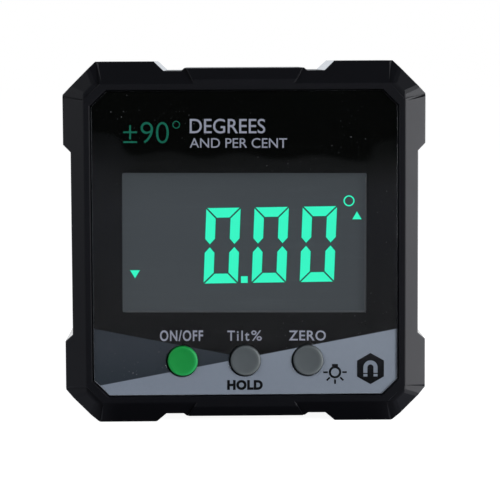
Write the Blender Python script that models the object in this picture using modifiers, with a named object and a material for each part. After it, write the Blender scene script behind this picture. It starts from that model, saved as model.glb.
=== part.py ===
"""Square digital angle gauge: moulded two-shell housing, lens, display stack, push buttons, cells and magnets.

Metres, +X right, +Z up, the display looks to -Y. The origin is on the ground, under the middle of the body, which
stands on its two lower lugs. Sizes are written in millimetres through MM.
"""
import math

import bmesh
import bpy
from mathutils import Matrix, Vector

MM = 0.001

# Clearance between pieces that touch, and how far a tool reaches past the face that it cuts
GAP = 0.3 * MM
REACH = 1.0 * MM

# Body outline, seen from the front. The square body is as large as its contents and their margins need
CORNER_CHAMFER = 5.6 * MM
BASE_LUG_LENGTH = 10.0 * MM
SIDE_LUG_LENGTH = 8.5 * MM
BASE_NOTCH_DEPTH = 1.6 * MM
BASE_NOTCH_RAMP = 1.7 * MM
SIDE_NOTCH_DEPTH = 1.35 * MM
SIDE_NOTCH_RAMP = 1.25 * MM
PAD_LENGTH = 20.4 * MM
PAD_HEIGHT = 0.45 * MM
PAD_RAMP = 0.5 * MM

# Sloping bezel round the flat rim
RIM_INSET = 3.7 * MM
RIM_CHAMFER = 2.8 * MM
BEZEL_DROP = 3.0 * MM
PAD_RIM_RISE = 0.77 * MM
PAD_RIM_STEP = 0.3 * MM
PAD_RIM_TAPER = 2.0 * MM
CORNER_SINK = 0.55 * MM
CORNER_FACET_CHAMFER = 1.7 * MM
CORNER_ZONE_MARGIN = 0.2 * MM
CORNER_STEP = 0.1 * MM
BACK_CHAMFER = 1.0 * MM
SMALLEST_CHAMFER = 0.2 * MM

# Shells, and the room round what they hold
WALL = 4.4 * MM
TRAY_MARGIN = 0.4 * MM
BUTTON_MARGIN = 2.8 * MM
DISPLAY_MARGIN = 2.7 * MM
WIRING_ROOM = 4.9 * MM
PARTING_FROM_BACK = 10.0 * MM
FRONT_PLATE = 1.8 * MM
BACK_WALL = 3.6 * MM
BOSS_INSET = 7.4 * MM
BOSS_RADIUS = 3.2 * MM
BOSS_RECESS = 0.2 * MM
SEAL_WIDTH = 0.8 * MM
SEAL_HEIGHT = 0.7 * MM

# Lens
LENS_BORDER = 5.05 * MM
LENS_SET_BACK = 0.25 * MM
LENS_THICKNESS = 1.5 * MM
LENS_CHAMFER = 2.6 * MM
LENS_CLEARANCE = 0.25 * MM
LENS_EDGE_BREAK = 0.2 * MM

# Display stack
GLASS_WIDTH = 46.0 * MM
GLASS_HEIGHT = 30.0 * MM
GLASS_THICKNESS = 2.0 * MM
GLASS_CLEARANCE = 0.5 * MM
GUIDE_THICKNESS = 2.7 * MM
CONNECTOR_WIDTH = 1.6 * MM
CONNECTOR_INSET = 3.0 * MM
FRAME_WALL = 0.9 * MM
FRAME_RIB = 0.7 * MM
FRAME_LEDGE = 1.6 * MM
LED_WIDTH = 3.0 * MM
LED_HEIGHT = 3.5 * MM

# Push buttons and the tactile switches under them
BUTTON_PITCH = 10.75 * MM
BUTTON_BELOW_DISPLAY = 0.7 * MM
CAP_RADIUS = 2.575 * MM
CAP_PROUD = 0.25 * MM
CAP_DISH = 0.25 * MM
CAP_EDGE = 0.3 * MM
CAP_CLEARANCE = 0.25 * MM
CAP_FLANGE_RADIUS = 3.6 * MM
CAP_FLANGE = 0.85 * MM
CAP_STEM_RADIUS = 1.5 * MM
CAP_STEM = 0.7 * MM
BUTTON_TRAVEL = 0.5 * MM
PLUNGER_RADIUS = 1.65 * MM
PLUNGER_PROUD = 1.0 * MM
PLUNGER_SUNK = 2.0 * MM
SWITCH_SIZE = 6.0 * MM
SWITCH_HEIGHT = 3.2 * MM

# Main board and what is soldered to its back
BOARD_MARGIN = 1.6 * MM
BOARD_CHAMFER = 7.8 * MM
BOARD_THICKNESS = 1.2 * MM
POST_INSET_X = 7.0 * MM
POST_INSET_Z = 4.5 * MM
POST_RADIUS = 2.3 * MM
SENSOR_SIZE = 5.0 * MM
CONTROLLER_SIZE = 9.0 * MM
CHIP_HEIGHT = 1.2 * MM
CHIP_ROW = 6.0 * MM

# Two AAA cells side by side in the tray of the rear cover
CELL_DIAMETER = 10.5 * MM
CELL_LENGTH = 44.5 * MM
CELL_NUB_RADIUS = 1.9 * MM
CELL_NUB_LENGTH = 0.9 * MM
CELL_SHOULDER = 0.4 * MM
CELL_SIDE_GAP = 0.35 * MM
TRAY_WALL = 1.2 * MM
CONTACT_PLATE = 0.5 * MM
CONTACT_SIZE = 8.0 * MM
SPRING_LENGTH = 3.0 * MM
SPRING_RADIUS = 3.2 * MM
SPRING_WIRE = 0.5 * MM
SPRING_TURNS = 3
PIN_RADIUS = 0.4 * MM

# Battery cover in the back
COVER_THICKNESS = 1.6 * MM
COVER_LEDGE = 3.0 * MM
COVER_TAIL = 8.2 * MM
COVER_CORNER = 2.0 * MM
COVER_SCREW_INSET = 2.8 * MM
COVER_TAB_WIDTH = 6.0 * MM
COVER_TAB_LENGTH = 1.0 * MM
COVER_TAB_THICKNESS = 0.6 * MM
COVER_TAB_SPACING = 26.0 * MM
COVER_SEAL_INSET = 0.9 * MM
COVER_SEAL_WIDTH = 0.6 * MM
COVER_SEAL_HEIGHT = 0.7 * MM

# Screws: shank radius, head radius, head height and length under the head
HOUSING_SCREW = (1.2 * MM, 2.2 * MM, 1.8 * MM, 12.3 * MM)
BOARD_SCREW = (1.0 * MM, 1.9 * MM, 1.4 * MM, 6.0 * MM)
COVER_SCREW = (1.2 * MM, 2.3 * MM, 0.6 * MM, 7.4 * MM)
SCREW_END_GAP = 0.6 * MM
HOUSING_SCREW_DEPTH = 5.0 * MM
RECESS_WIDTH = 0.5 * MM
RECESS_SHARE = 0.62

# Magnets in the lower lugs
MAGNET_RADIUS = 3.5 * MM
MAGNET_HEIGHT = 2.4 * MM
MAGNET_FROM_FRONT = 8.0 * MM
MAGNET_FROM_BACK = 4.8 * MM

# Sides of the round forms
FINE_SIDES = 40
ROUND_SIDES = 24
SMALL_SIDES = 16

# Overall sizes: the widest of the cells, the button row and the display, and the sum of the layers in the depth
BUTTON_BELOW_CENTRE = GLASS_HEIGHT / 2 + FRAME_WALL + BUTTON_BELOW_DISPLAY + CAP_FLANGE_RADIUS
CELL_SPACING = CELL_DIAMETER / 2 + CELL_SIDE_GAP
TRAY_HALF_X = (CELL_LENGTH + SPRING_LENGTH + 2 * CONTACT_PLATE + 5 * GAP) / 2
TRAY_HALF_Z = CELL_SPACING + CELL_DIAMETER / 2 + CELL_SIDE_GAP
CAVITY_HALF = max(TRAY_HALF_X + TRAY_WALL + TRAY_MARGIN,
                  BUTTON_BELOW_CENTRE + CAP_FLANGE_RADIUS + BUTTON_MARGIN,
                  GLASS_WIDTH / 2 + FRAME_WALL + DISPLAY_MARGIN)
HALF = CAVITY_HALF + WALL
FRONT_LAYERS = LENS_SET_BACK + LENS_THICKNESS + GAP + FRONT_PLATE
BUTTON_LAYERS = GAP + CAP_FLANGE + CAP_STEM + GAP + PLUNGER_PROUD + SWITCH_HEIGHT
BOARD_LAYERS = GAP + BOARD_THICKNESS + GAP + CHIP_HEIGHT + WIRING_ROOM
CELL_LAYERS = TRAY_WALL + GAP + CELL_DIAMETER + GAP + COVER_THICKNESS
BODY_DEPTH = FRONT_LAYERS + BUTTON_LAYERS + BOARD_LAYERS + CELL_LAYERS

# Places along the depth, from the front to the back
MIDDLE = HALF
FRONT = -BODY_DEPTH / 2
BACK = BODY_DEPTH / 2
BEZEL_SLOPE = RIM_INSET / BEZEL_DROP
RIM_HALF = HALF - RIM_INSET
LENS_FRONT = FRONT + LENS_SET_BACK
LENS_BACK = LENS_FRONT + LENS_THICKNESS
LENS_SEAT = LENS_BACK + GAP
PLATE_BACK = LENS_SEAT + FRONT_PLATE
GLASS_BACK = LENS_SEAT + GLASS_THICKNESS
GUIDE_FRONT = GLASS_BACK + GAP
GUIDE_BACK = GUIDE_FRONT + GUIDE_THICKNESS
FRAME_FRONT = PLATE_BACK + GAP
FLANGE_FRONT = PLATE_BACK + GAP
FLANGE_BACK = FLANGE_FRONT + CAP_FLANGE
STEM_END = FLANGE_BACK + CAP_STEM
PLUNGER_FRONT = STEM_END + GAP
SWITCH_FRONT = PLUNGER_FRONT + PLUNGER_PROUD
SWITCH_BACK = SWITCH_FRONT + SWITCH_HEIGHT
BOARD_FRONT = SWITCH_BACK + GAP
BOARD_BACK = BOARD_FRONT + BOARD_THICKNESS
PARTING = BACK - PARTING_FROM_BACK
REAR_FRONT = PARTING + GAP
COVER_INNER = BACK - COVER_THICKNESS
COVER_SEAT = COVER_INNER - GAP
CELL_Y = COVER_INNER - GAP - CELL_DIAMETER / 2
TRAY_FLOOR = CELL_Y - CELL_DIAMETER / 2 - GAP
TRAY_FRONT = TRAY_FLOOR - TRAY_WALL
POCKET_END = BACK - BACK_WALL

# Places across the body, measured from its middle
SEAL_INSET = (WALL + BASE_NOTCH_DEPTH) / 2
LENS_HALF = HALF - LENS_BORDER
BOARD_HALF = CAVITY_HALF - BOARD_MARGIN
BOSS_AT = HALF - BOSS_INSET
POST_X = BOARD_HALF - POST_INSET_X
POST_Z = BOARD_HALF - POST_INSET_Z
PLATE_X = TRAY_HALF_X - GAP - CONTACT_PLATE / 2
COVER_HALF_X = TRAY_HALF_X + COVER_LEDGE
COVER_TOP = TRAY_HALF_Z + COVER_LEDGE
COVER_BOTTOM = TRAY_HALF_Z + COVER_TAIL
COVER_SCREW_Z = COVER_BOTTOM - COVER_SCREW_INSET
CONNECTOR_LENGTH = GLASS_WIDTH - 2 * CONNECTOR_INSET
CONNECTOR_Z = -(GLASS_HEIGHT / 2 - GAP - CONNECTOR_WIDTH / 2)
GUIDE_BOTTOM = CONNECTOR_Z + CONNECTOR_WIDTH / 2 + 2 * GAP + FRAME_RIB
GUIDE_TOP = GLASS_HEIGHT / 2 - GAP
LUG_CENTRE_X = HALF - CORNER_CHAMFER - BASE_LUG_LENGTH / 2

SIGNS = ((-1, -1), (1, -1), (1, 1), (-1, 1))
BUTTONS = (("power", -BUTTON_PITCH), ("hold", 0.0), ("zero", BUTTON_PITCH))


def collection(name):
    """Return the named collection of the scene, made when it is missing."""
    found = bpy.data.collections.get(name)
    if found is None:
        found = bpy.data.collections.new(name)
        bpy.context.scene.collection.children.link(found)
    return found


def material(name, colour, roughness, metallic=0.0):
    """Return a Principled material of one colour."""
    made = bpy.data.materials.new(name)
    made.use_nodes = True
    shader = made.node_tree.nodes["Principled BSDF"]
    shader.inputs["Base Color"].default_value = (*colour, 1.0)
    shader.inputs["Roughness"].default_value = roughness
    shader.inputs["Metallic"].default_value = metallic
    made.diffuse_color = (*colour, 1.0)
    return made


def add_object(name, mesh, matrix=None):
    """Link a mesh as an object, a piece of the gauge until as_tool sets it aside."""
    made = bpy.data.objects.new(name, mesh)
    if matrix is not None:
        made.matrix_world = matrix
    collection("digital_angle_gauge").objects.link(made)
    return made


def as_tool(tool):
    """Move an object among the tools that only shape other pieces."""
    for owner in list(tool.users_collection):
        owner.objects.unlink(tool)
    collection("shaping_tools").objects.link(tool)
    tool.hide_render = True
    tool.display_type = "WIRE"
    return tool


def finish(piece, surface, smooth=False):
    """Give a piece its material, and soft shading where it is round."""
    piece.data.materials.clear()
    piece.data.materials.append(surface)
    if smooth:
        piece.data.shade_smooth()
        piece.data.set_sharp_from_angle(angle=math.radians(35))
    return piece


def shape(target, tool, operation="DIFFERENCE"):
    """Cut a tool from a piece, join it to the piece, or keep what both share."""
    step = target.modifiers.new(f"{operation.lower()}_{tool.name}", "BOOLEAN")
    step.operation = operation
    step.solver = "EXACT"
    step.object = as_tool(tool)


def round_edges(piece, width, segments=1):
    """Break a piece's sharp edges."""
    step = piece.modifiers.new("edge_break", "BEVEL")
    step.width = width
    step.segments = segments
    step.limit_method = "ANGLE"
    step.angle_limit = math.radians(40)
    step.use_clamp_overlap = True


def box(name, low, high):
    """A block between two corners, heights counted from the middle of the body."""
    low = Vector(low) + Vector((0, 0, MIDDLE))
    high = Vector(high) + Vector((0, 0, MIDDLE))
    mesh = bpy.data.meshes.new(name)
    work = bmesh.new()
    bmesh.ops.create_cube(work, size=1.0, matrix=Matrix.LocRotScale((low + high) / 2, None, high - low))
    work.to_mesh(mesh)
    work.free()
    return add_object(name, mesh)


def rod(name, x, z, radius, front, back, sides=ROUND_SIDES):
    """A round bar along the depth, its height counted from the middle of the body."""
    mesh = bpy.data.meshes.new(name)
    work = bmesh.new()
    centre = Matrix.Translation((x, (front + back) / 2, MIDDLE + z))
    turn = Matrix.Rotation(math.pi / 2, 4, "X")
    bmesh.ops.create_cone(work, cap_ends=True, segments=sides, radius1=radius, radius2=radius,
                          depth=back - front, matrix=centre @ turn)
    work.to_mesh(mesh)
    work.free()
    return add_object(name, mesh)


def circle(x, z, radius, sides=FINE_SIDES):
    """Points of a circle in the front view."""
    turns = [2 * math.pi * i / sides for i in range(sides)]
    return [(x + radius * math.cos(turn), z + radius * math.sin(turn)) for turn in turns]


def plate(name, loops, front, back):
    """A flat outline with any holes, given in the front view, as a solid between two depths."""
    curve = bpy.data.curves.new(name, "CURVE")
    curve.dimensions = "2D"
    curve.fill_mode = "BOTH"
    curve.extrude = (back - front) / 2
    for loop in loops:
        spline = curve.splines.new("POLY")
        spline.points.add(len(loop) - 1)
        for point, (x, z) in zip(spline.points, loop):
            point.co = (x, z, 0, 1)
        spline.use_cyclic_u = True
    flat = add_object(name, curve)
    flat.matrix_world = Matrix.Translation((0, (front + back) / 2, MIDDLE)) @ Matrix.Rotation(math.pi / 2, 4, "X")
    return as_mesh(flat)


def as_mesh(source):
    """Replace a curve object by its welded mesh, with whole flat faces in place of the fill's slivers."""
    bpy.context.view_layer.update()
    evaluated = source.evaluated_get(bpy.context.evaluated_depsgraph_get())
    mesh = bpy.data.meshes.new_from_object(evaluated)
    work = bmesh.new()
    work.from_mesh(mesh)
    bmesh.ops.remove_doubles(work, verts=work.verts, dist=0.001 * MM)
    bmesh.ops.dissolve_degenerate(work, dist=0.001 * MM, edges=work.edges)
    bmesh.ops.dissolve_limit(work, angle_limit=math.radians(0.1), verts=[], edges=work.edges)
    bmesh.ops.recalc_face_normals(work, faces=work.faces)
    work.to_mesh(mesh)
    work.free()
    name = source.name
    matrix = source.matrix_world.copy()
    curve = source.data
    bpy.data.objects.remove(source)
    bpy.data.curves.remove(curve)
    mesh.name = name
    return add_object(name, mesh, matrix)


def loft(name, sections):
    """A solid through outlines of equal point count, each given with its depth."""
    mesh = bpy.data.meshes.new(name)
    work = bmesh.new()
    rings = [[work.verts.new((x, depth, MIDDLE + z)) for x, z in outline] for depth, outline in sections]
    for ring, following in zip(rings, rings[1:]):
        for i in range(len(ring)):
            j = (i + 1) % len(ring)
            work.faces.new((ring[i], ring[j], following[j], following[i]))
    work.faces.new(rings[0])
    work.faces.new(rings[-1])
    bmesh.ops.recalc_face_normals(work, faces=work.faces)
    work.to_mesh(mesh)
    work.free()
    return add_object(name, mesh)


def turned(name, profile, place, turn, sides=ROUND_SIDES):
    """A turned piece: radius and height pairs, top first, spun about the piece's own Z axis."""
    mesh = bpy.data.meshes.new(name)
    points = [(radius, 0, height) for radius, height in profile]
    mesh.from_pydata(points, [(i, i + 1) for i in range(len(points) - 1)], [])
    piece = add_object(name, mesh)
    piece.location = place
    piece.rotation_euler = turn
    spin = piece.modifiers.new("spin", "SCREW")
    spin.axis = "Z"
    spin.angle = 2 * math.pi
    spin.steps = sides
    spin.render_steps = sides
    spin.use_merge_vertices = True
    spin.merge_threshold = 0.001 * MM
    return piece


FACING_FRONT = (math.pi / 2, 0, 0)
FACING_BACK = (-math.pi / 2, 0, 0)
FACING_RIGHT = (0, math.pi / 2, 0)
FACING_LEFT = (0, -math.pi / 2, 0)


def cut_corners(half_x, half_z, chamfer):
    """Eight points of a centred rectangle with cut corners."""
    quarter = [(half_x, half_z - chamfer), (half_x - chamfer, half_z)]
    upper = quarter + [(-x, z) for x, z in reversed(quarter)]
    return upper + [(-x, -z) for x, z in upper]


def chamfered_square(half, chamfer):
    """Eight points of a centred square with cut corners."""
    return cut_corners(half, half, chamfer)


def inset_chamfer(chamfer, inset):
    """Chamfer of a cut corner once its square is set in by an even distance."""
    return max(chamfer - inset * (2 - math.sqrt(2)), SMALLEST_CHAMFER)


def rectangle(left, right, bottom, top, corner=0.0):
    """Points of a rectangle, its corners cut when a size is given."""
    if corner == 0.0:
        return [(left, bottom), (right, bottom), (right, top), (left, top)]
    return [(left + corner, bottom), (right - corner, bottom), (right, bottom + corner), (right, top - corner),
            (right - corner, top), (left + corner, top), (left, top - corner), (left, bottom + corner)]


def body_outline():
    """Outline with four corner lugs, a recess on each side, and a low pad in the upper and lower ones."""
    lug_end = HALF - CORNER_CHAMFER
    base_corner = lug_end - BASE_LUG_LENGTH
    side_corner = lug_end - SIDE_LUG_LENGTH
    notch = HALF - BASE_NOTCH_DEPTH
    recess = HALF - SIDE_NOTCH_DEPTH
    pad = notch + PAD_HEIGHT
    quarter = [
        (recess, side_corner - SIDE_NOTCH_RAMP),
        (HALF, side_corner),
        (HALF, lug_end),
        (lug_end, HALF),
        (base_corner, HALF),
        (base_corner - BASE_NOTCH_RAMP, notch),
        (PAD_LENGTH / 2 + PAD_RAMP, notch),
        (PAD_LENGTH / 2, pad),
    ]
    left = [(-x, z) for x, z in reversed(quarter)]
    upper = quarter + left
    lower = [(x, -z) for x, z in reversed(upper)]
    return upper + lower


def sloped_form(name, half_z, front, start):
    """An even slope on all eight sides of a block, from a depth before or at its rim, then straight to the back."""
    sections = []
    for drop in (start, BEZEL_DROP + REACH):
        growth = drop * BEZEL_SLOPE
        chamfer = CORNER_FACET_CHAMFER + growth * (2 - math.sqrt(2))
        sections.append((front + drop, cut_corners(RIM_HALF + growth, half_z + growth, chamfer)))
    sections.append((PARTING + REACH, sections[-1][1]))
    return loft(name, sections)


def bezel_envelope():
    """The block that the bezel is cut to: an even slope, raised over the pads of the upper and lower recesses.

    Its slopes run on past the plane of the rim, so that the rim keeps the flat front of the outline.
    """
    envelope = sloped_form("bezel_envelope", RIM_HALF, FRONT, -REACH)
    inner = RIM_HALF - 2 * REACH
    outer = HALF - BASE_NOTCH_DEPTH + PAD_HEIGHT
    wide = PAD_LENGTH / 2 - PAD_RIM_STEP
    narrow = wide - PAD_RIM_TAPER * (outer - inner) / RIM_INSET
    for name, sign in (("upper", 1), ("lower", -1)):
        far = outer + REACH
        out = wide + PAD_RIM_TAPER * REACH / RIM_INSET
        zone = [(-narrow, sign * inner), (narrow, sign * inner), (out, sign * far), (-out, sign * far)]
        block = plate(f"{name}_pad_zone", [zone], FRONT - REACH / 2, FRONT + BEZEL_DROP)
        shape(block, sloped_form(f"{name}_pad_form", RIM_HALF + PAD_RIM_RISE, FRONT, -REACH), "INTERSECT")
        shape(envelope, block, "UNION")
    return envelope


def corner_edge(height):
    """Where the side wall of a sunken corner stands, at a height: it leans out from the rim to the body's edge."""
    start = RIM_HALF - RIM_CHAMFER
    end = HALF - CORNER_CHAMFER - CORNER_ZONE_MARGIN
    return start + (end - start) * (height - RIM_HALF) / RIM_INSET


def corner_cutter(index, sign_x, sign_z):
    """What is taken off a corner so that its facets lie lower than the slopes beside them."""
    low = RIM_HALF - CORNER_STEP
    far = HALF + REACH
    start = corner_edge(low)
    out = corner_edge(far)
    zone = [(start, low), (out, far), (far, far), (far, out), (low, start)]
    zone = [(x * sign_x, z * sign_z) for x, z in zone]
    cutter = plate(f"corner_zone_{index}", [zone], FRONT - REACH, FRONT + BEZEL_DROP + CORNER_SINK + REACH / 2)
    shape(cutter, sloped_form(f"corner_form_{index}", RIM_HALF, FRONT + CORNER_SINK, 0.0))
    return cutter


def screw_head_space(screw):
    """Radius of the pocket that a screw head sits in."""
    return screw[1] + GAP


def screw_hole(screw):
    """Radius of the hole round a screw's shank."""
    return screw[0] + GAP


def magnet_places():
    """Middles of the magnet pockets: side and depth."""
    return [(side * LUG_CENTRE_X, depth) for depth in (FRONT + MAGNET_FROM_FRONT, BACK - MAGNET_FROM_BACK)
            for side in (-1, 1)]


def magnet_disc(name, x, depth, radius, bottom, top):
    """A disc or pocket standing on the ground plane under the body."""
    mesh = bpy.data.meshes.new(name)
    work = bmesh.new()
    bmesh.ops.create_cone(work, cap_ends=True, segments=ROUND_SIDES, radius1=radius, radius2=radius,
                          depth=top - bottom, matrix=Matrix.Translation((x, depth, (bottom + top) / 2)))
    work.to_mesh(mesh)
    work.free()
    return add_object(name, mesh)


def magnet_pockets(shell, places):
    """Open a shell's lower lugs for the magnets."""
    for x, depth in places:
        pocket = magnet_disc(f"magnet_pocket_{shell.name}_{x > 0}", x, depth, MAGNET_RADIUS + GAP,
                             -REACH, MAGNET_HEIGHT + 2 * GAP)
        shape(shell, pocket)


def seal_loops(half_width):
    """Inner and outer loop of the housing seal or its groove, as wide as asked either side of its middle line."""
    loops = []
    for inset in (SEAL_INSET - half_width, SEAL_INSET + half_width):
        loops.append(chamfered_square(HALF - inset, inset_chamfer(CORNER_CHAMFER, inset)))
    return loops


def front_housing(plastic):
    """Front shell: rim, bezel, lens seat, display window, button holes, screw bosses and board posts."""
    shell = plate("front_housing", [body_outline()], FRONT, PARTING)
    shape(shell, bezel_envelope(), "INTERSECT")
    for index, (sign_x, sign_z) in enumerate(SIGNS):
        shape(shell, corner_cutter(index, sign_x, sign_z))
    seat = chamfered_square(LENS_HALF + LENS_CLEARANCE, inset_chamfer(LENS_CHAMFER, -LENS_CLEARANCE))
    shape(shell, plate("lens_seat", [seat], FRONT - REACH, LENS_SEAT))
    room = chamfered_square(CAVITY_HALF, inset_chamfer(CORNER_CHAMFER, WALL))
    shape(shell, plate("front_cavity", [room], PLATE_BACK, PARTING + REACH))
    for index, (sign_x, sign_z) in enumerate(SIGNS):
        boss = rod(f"front_boss_{index}", sign_x * BOSS_AT, sign_z * BOSS_AT, BOSS_RADIUS,
                   PLATE_BACK - REACH / 2, PARTING - BOSS_RECESS)
        shape(shell, boss, "UNION")
        post = rod(f"board_post_{index}", sign_x * POST_X, sign_z * POST_Z, POST_RADIUS,
                   PLATE_BACK - REACH / 2, BOARD_FRONT - GAP)
        shape(shell, post, "UNION")
    window_x = GLASS_WIDTH / 2 + GLASS_CLEARANCE
    window_z = GLASS_HEIGHT / 2 + GLASS_CLEARANCE
    shape(shell, box("display_window", (-window_x, LENS_SEAT - REACH, -window_z),
                     (window_x, PLATE_BACK + REACH, window_z)))
    for name, x in BUTTONS:
        shape(shell, rod(f"{name}_hole", x, -BUTTON_BELOW_CENTRE, CAP_RADIUS + GAP,
                         LENS_SEAT - REACH, PLATE_BACK + REACH))
    screw_end = BACK - HOUSING_SCREW_DEPTH - HOUSING_SCREW[3] - SCREW_END_GAP
    board_screw_end = BOARD_BACK + GAP - BOARD_SCREW[3] - SCREW_END_GAP
    for index, (sign_x, sign_z) in enumerate(SIGNS):
        shape(shell, rod(f"front_pilot_{index}", sign_x * BOSS_AT, sign_z * BOSS_AT, screw_hole(HOUSING_SCREW),
                         screw_end, PARTING + REACH, SMALL_SIDES))
        shape(shell, rod(f"post_pilot_{index}", sign_x * POST_X, sign_z * POST_Z, screw_hole(BOARD_SCREW),
                         board_screw_end, BOARD_FRONT, SMALL_SIDES))
    shape(shell, plate("seal_groove", seal_loops(SEAL_WIDTH / 2 + GAP), PARTING - SEAL_HEIGHT - GAP,
                       PARTING + REACH))
    magnet_pockets(shell, magnet_places()[:2])
    return finish(shell, plastic)


def rear_cover(plastic):
    """Rear shell: screw bosses, the tray for the cells, and the seat of the battery cover."""
    cover = plate("rear_cover", [body_outline()], REAR_FRONT, BACK)
    wide = HALF + REACH
    narrow = HALF - BACK_CHAMFER
    back_form = loft("back_envelope", [
        (REAR_FRONT - REACH, chamfered_square(wide, CORNER_CHAMFER)),
        (BACK - BACK_CHAMFER - REACH, chamfered_square(wide, CORNER_CHAMFER)),
        (BACK, chamfered_square(narrow, inset_chamfer(CORNER_CHAMFER, BACK_CHAMFER))),
    ])
    shape(cover, back_form, "INTERSECT")
    tray_x = TRAY_HALF_X + TRAY_WALL
    tray_z = TRAY_HALF_Z + TRAY_WALL
    shape(cover, box("rear_room", (-CAVITY_HALF, REAR_FRONT - REACH, -CAVITY_HALF),
                     (CAVITY_HALF, POCKET_END, CAVITY_HALF)))
    block_x = CAVITY_HALF + REACH / 2
    shape(cover, box("tray_block", (-block_x, REAR_FRONT + BOSS_RECESS, -tray_z),
                     (block_x, POCKET_END + REACH / 2, tray_z)), "UNION")
    shape(cover, box("tray_nose", (-tray_x, TRAY_FRONT, -tray_z + BOSS_RECESS),
                     (tray_x, REAR_FRONT + REACH, tray_z - BOSS_RECESS)), "UNION")
    for index, (sign_x, sign_z) in enumerate(SIGNS):
        boss = rod(f"rear_boss_{index}", sign_x * BOSS_AT, sign_z * BOSS_AT, BOSS_RADIUS,
                   REAR_FRONT + BOSS_RECESS, POCKET_END + REACH / 2)
        shape(cover, boss, "UNION")
    cover_boss_end = BACK - COVER_SCREW[2] - COVER_SCREW[3] - 2 * SCREW_END_GAP
    shape(cover, rod("cover_boss", 0, -COVER_SCREW_Z, BOSS_RADIUS, cover_boss_end, POCKET_END + REACH / 2), "UNION")
    shape(cover, box("cell_tray", (-TRAY_HALF_X, TRAY_FLOOR, -TRAY_HALF_Z),
                     (TRAY_HALF_X, BACK + REACH, TRAY_HALF_Z)))
    seat = rectangle(-COVER_HALF_X - GAP, COVER_HALF_X + GAP, -COVER_BOTTOM - GAP, COVER_TOP + GAP, COVER_CORNER)
    shape(cover, plate("cover_seat", [seat], COVER_SEAT, BACK + REACH))
    for side in (-1, 1):
        x = side * COVER_TAB_SPACING / 2
        reach_x = COVER_TAB_WIDTH / 2 + GAP
        shape(cover, box(f"tab_slot_{side}", (x - reach_x, COVER_SEAT - GAP / 3, COVER_TOP - REACH),
                         (x + reach_x, COVER_INNER + COVER_TAB_THICKNESS + GAP, COVER_TOP + COVER_TAB_LENGTH + GAP)))
    shape(cover, plate("cover_seal_groove", cover_seal_loops(COVER_SEAL_WIDTH / 2 + GAP),
                       COVER_SEAT - COVER_SEAL_HEIGHT - GAP, COVER_SEAT + REACH))
    for index, (sign_x, sign_z) in enumerate(SIGNS):
        x, z = sign_x * BOSS_AT, sign_z * BOSS_AT
        seat_y = BACK - HOUSING_SCREW_DEPTH - GAP
        shape(cover, rod(f"head_pocket_{index}", x, z, screw_head_space(HOUSING_SCREW), seat_y, BACK + REACH))
        shape(cover, rod(f"rear_hole_{index}", x, z, screw_hole(HOUSING_SCREW), REAR_FRONT - REACH,
                         seat_y + REACH, SMALL_SIDES))
    shape(cover, rod("cover_pilot", 0, -COVER_SCREW_Z, screw_hole(COVER_SCREW), cover_boss_end + SCREW_END_GAP,
                     COVER_SEAT + REACH, SMALL_SIDES))
    for side in (-1, 1):
        shape(cover, rod(f"pin_hole_{side}", PLATE_X, side * CELL_SPACING, PIN_RADIUS + GAP,
                         TRAY_FRONT - REACH, TRAY_FLOOR + REACH, SMALL_SIDES))
    magnet_pockets(cover, magnet_places()[2:])
    return finish(cover, plastic)


def housing_seal(rubber):
    """Rubber cord in the groove between the two shells."""
    return finish(plate("housing_seal", seal_loops(SEAL_WIDTH / 2), PARTING - SEAL_HEIGHT, PARTING), rubber)


def front_lens(clear):
    """Printed window over the display, with a hole for each button."""
    loops = [chamfered_square(LENS_HALF, LENS_CHAMFER)]
    for _, x in BUTTONS:
        loops.append(circle(x, -BUTTON_BELOW_CENTRE, CAP_RADIUS + CAP_CLEARANCE))
    lens = plate("front_lens", loops, LENS_FRONT, LENS_BACK)
    round_edges(lens, LENS_EDGE_BREAK)
    return finish(lens, clear)


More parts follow.
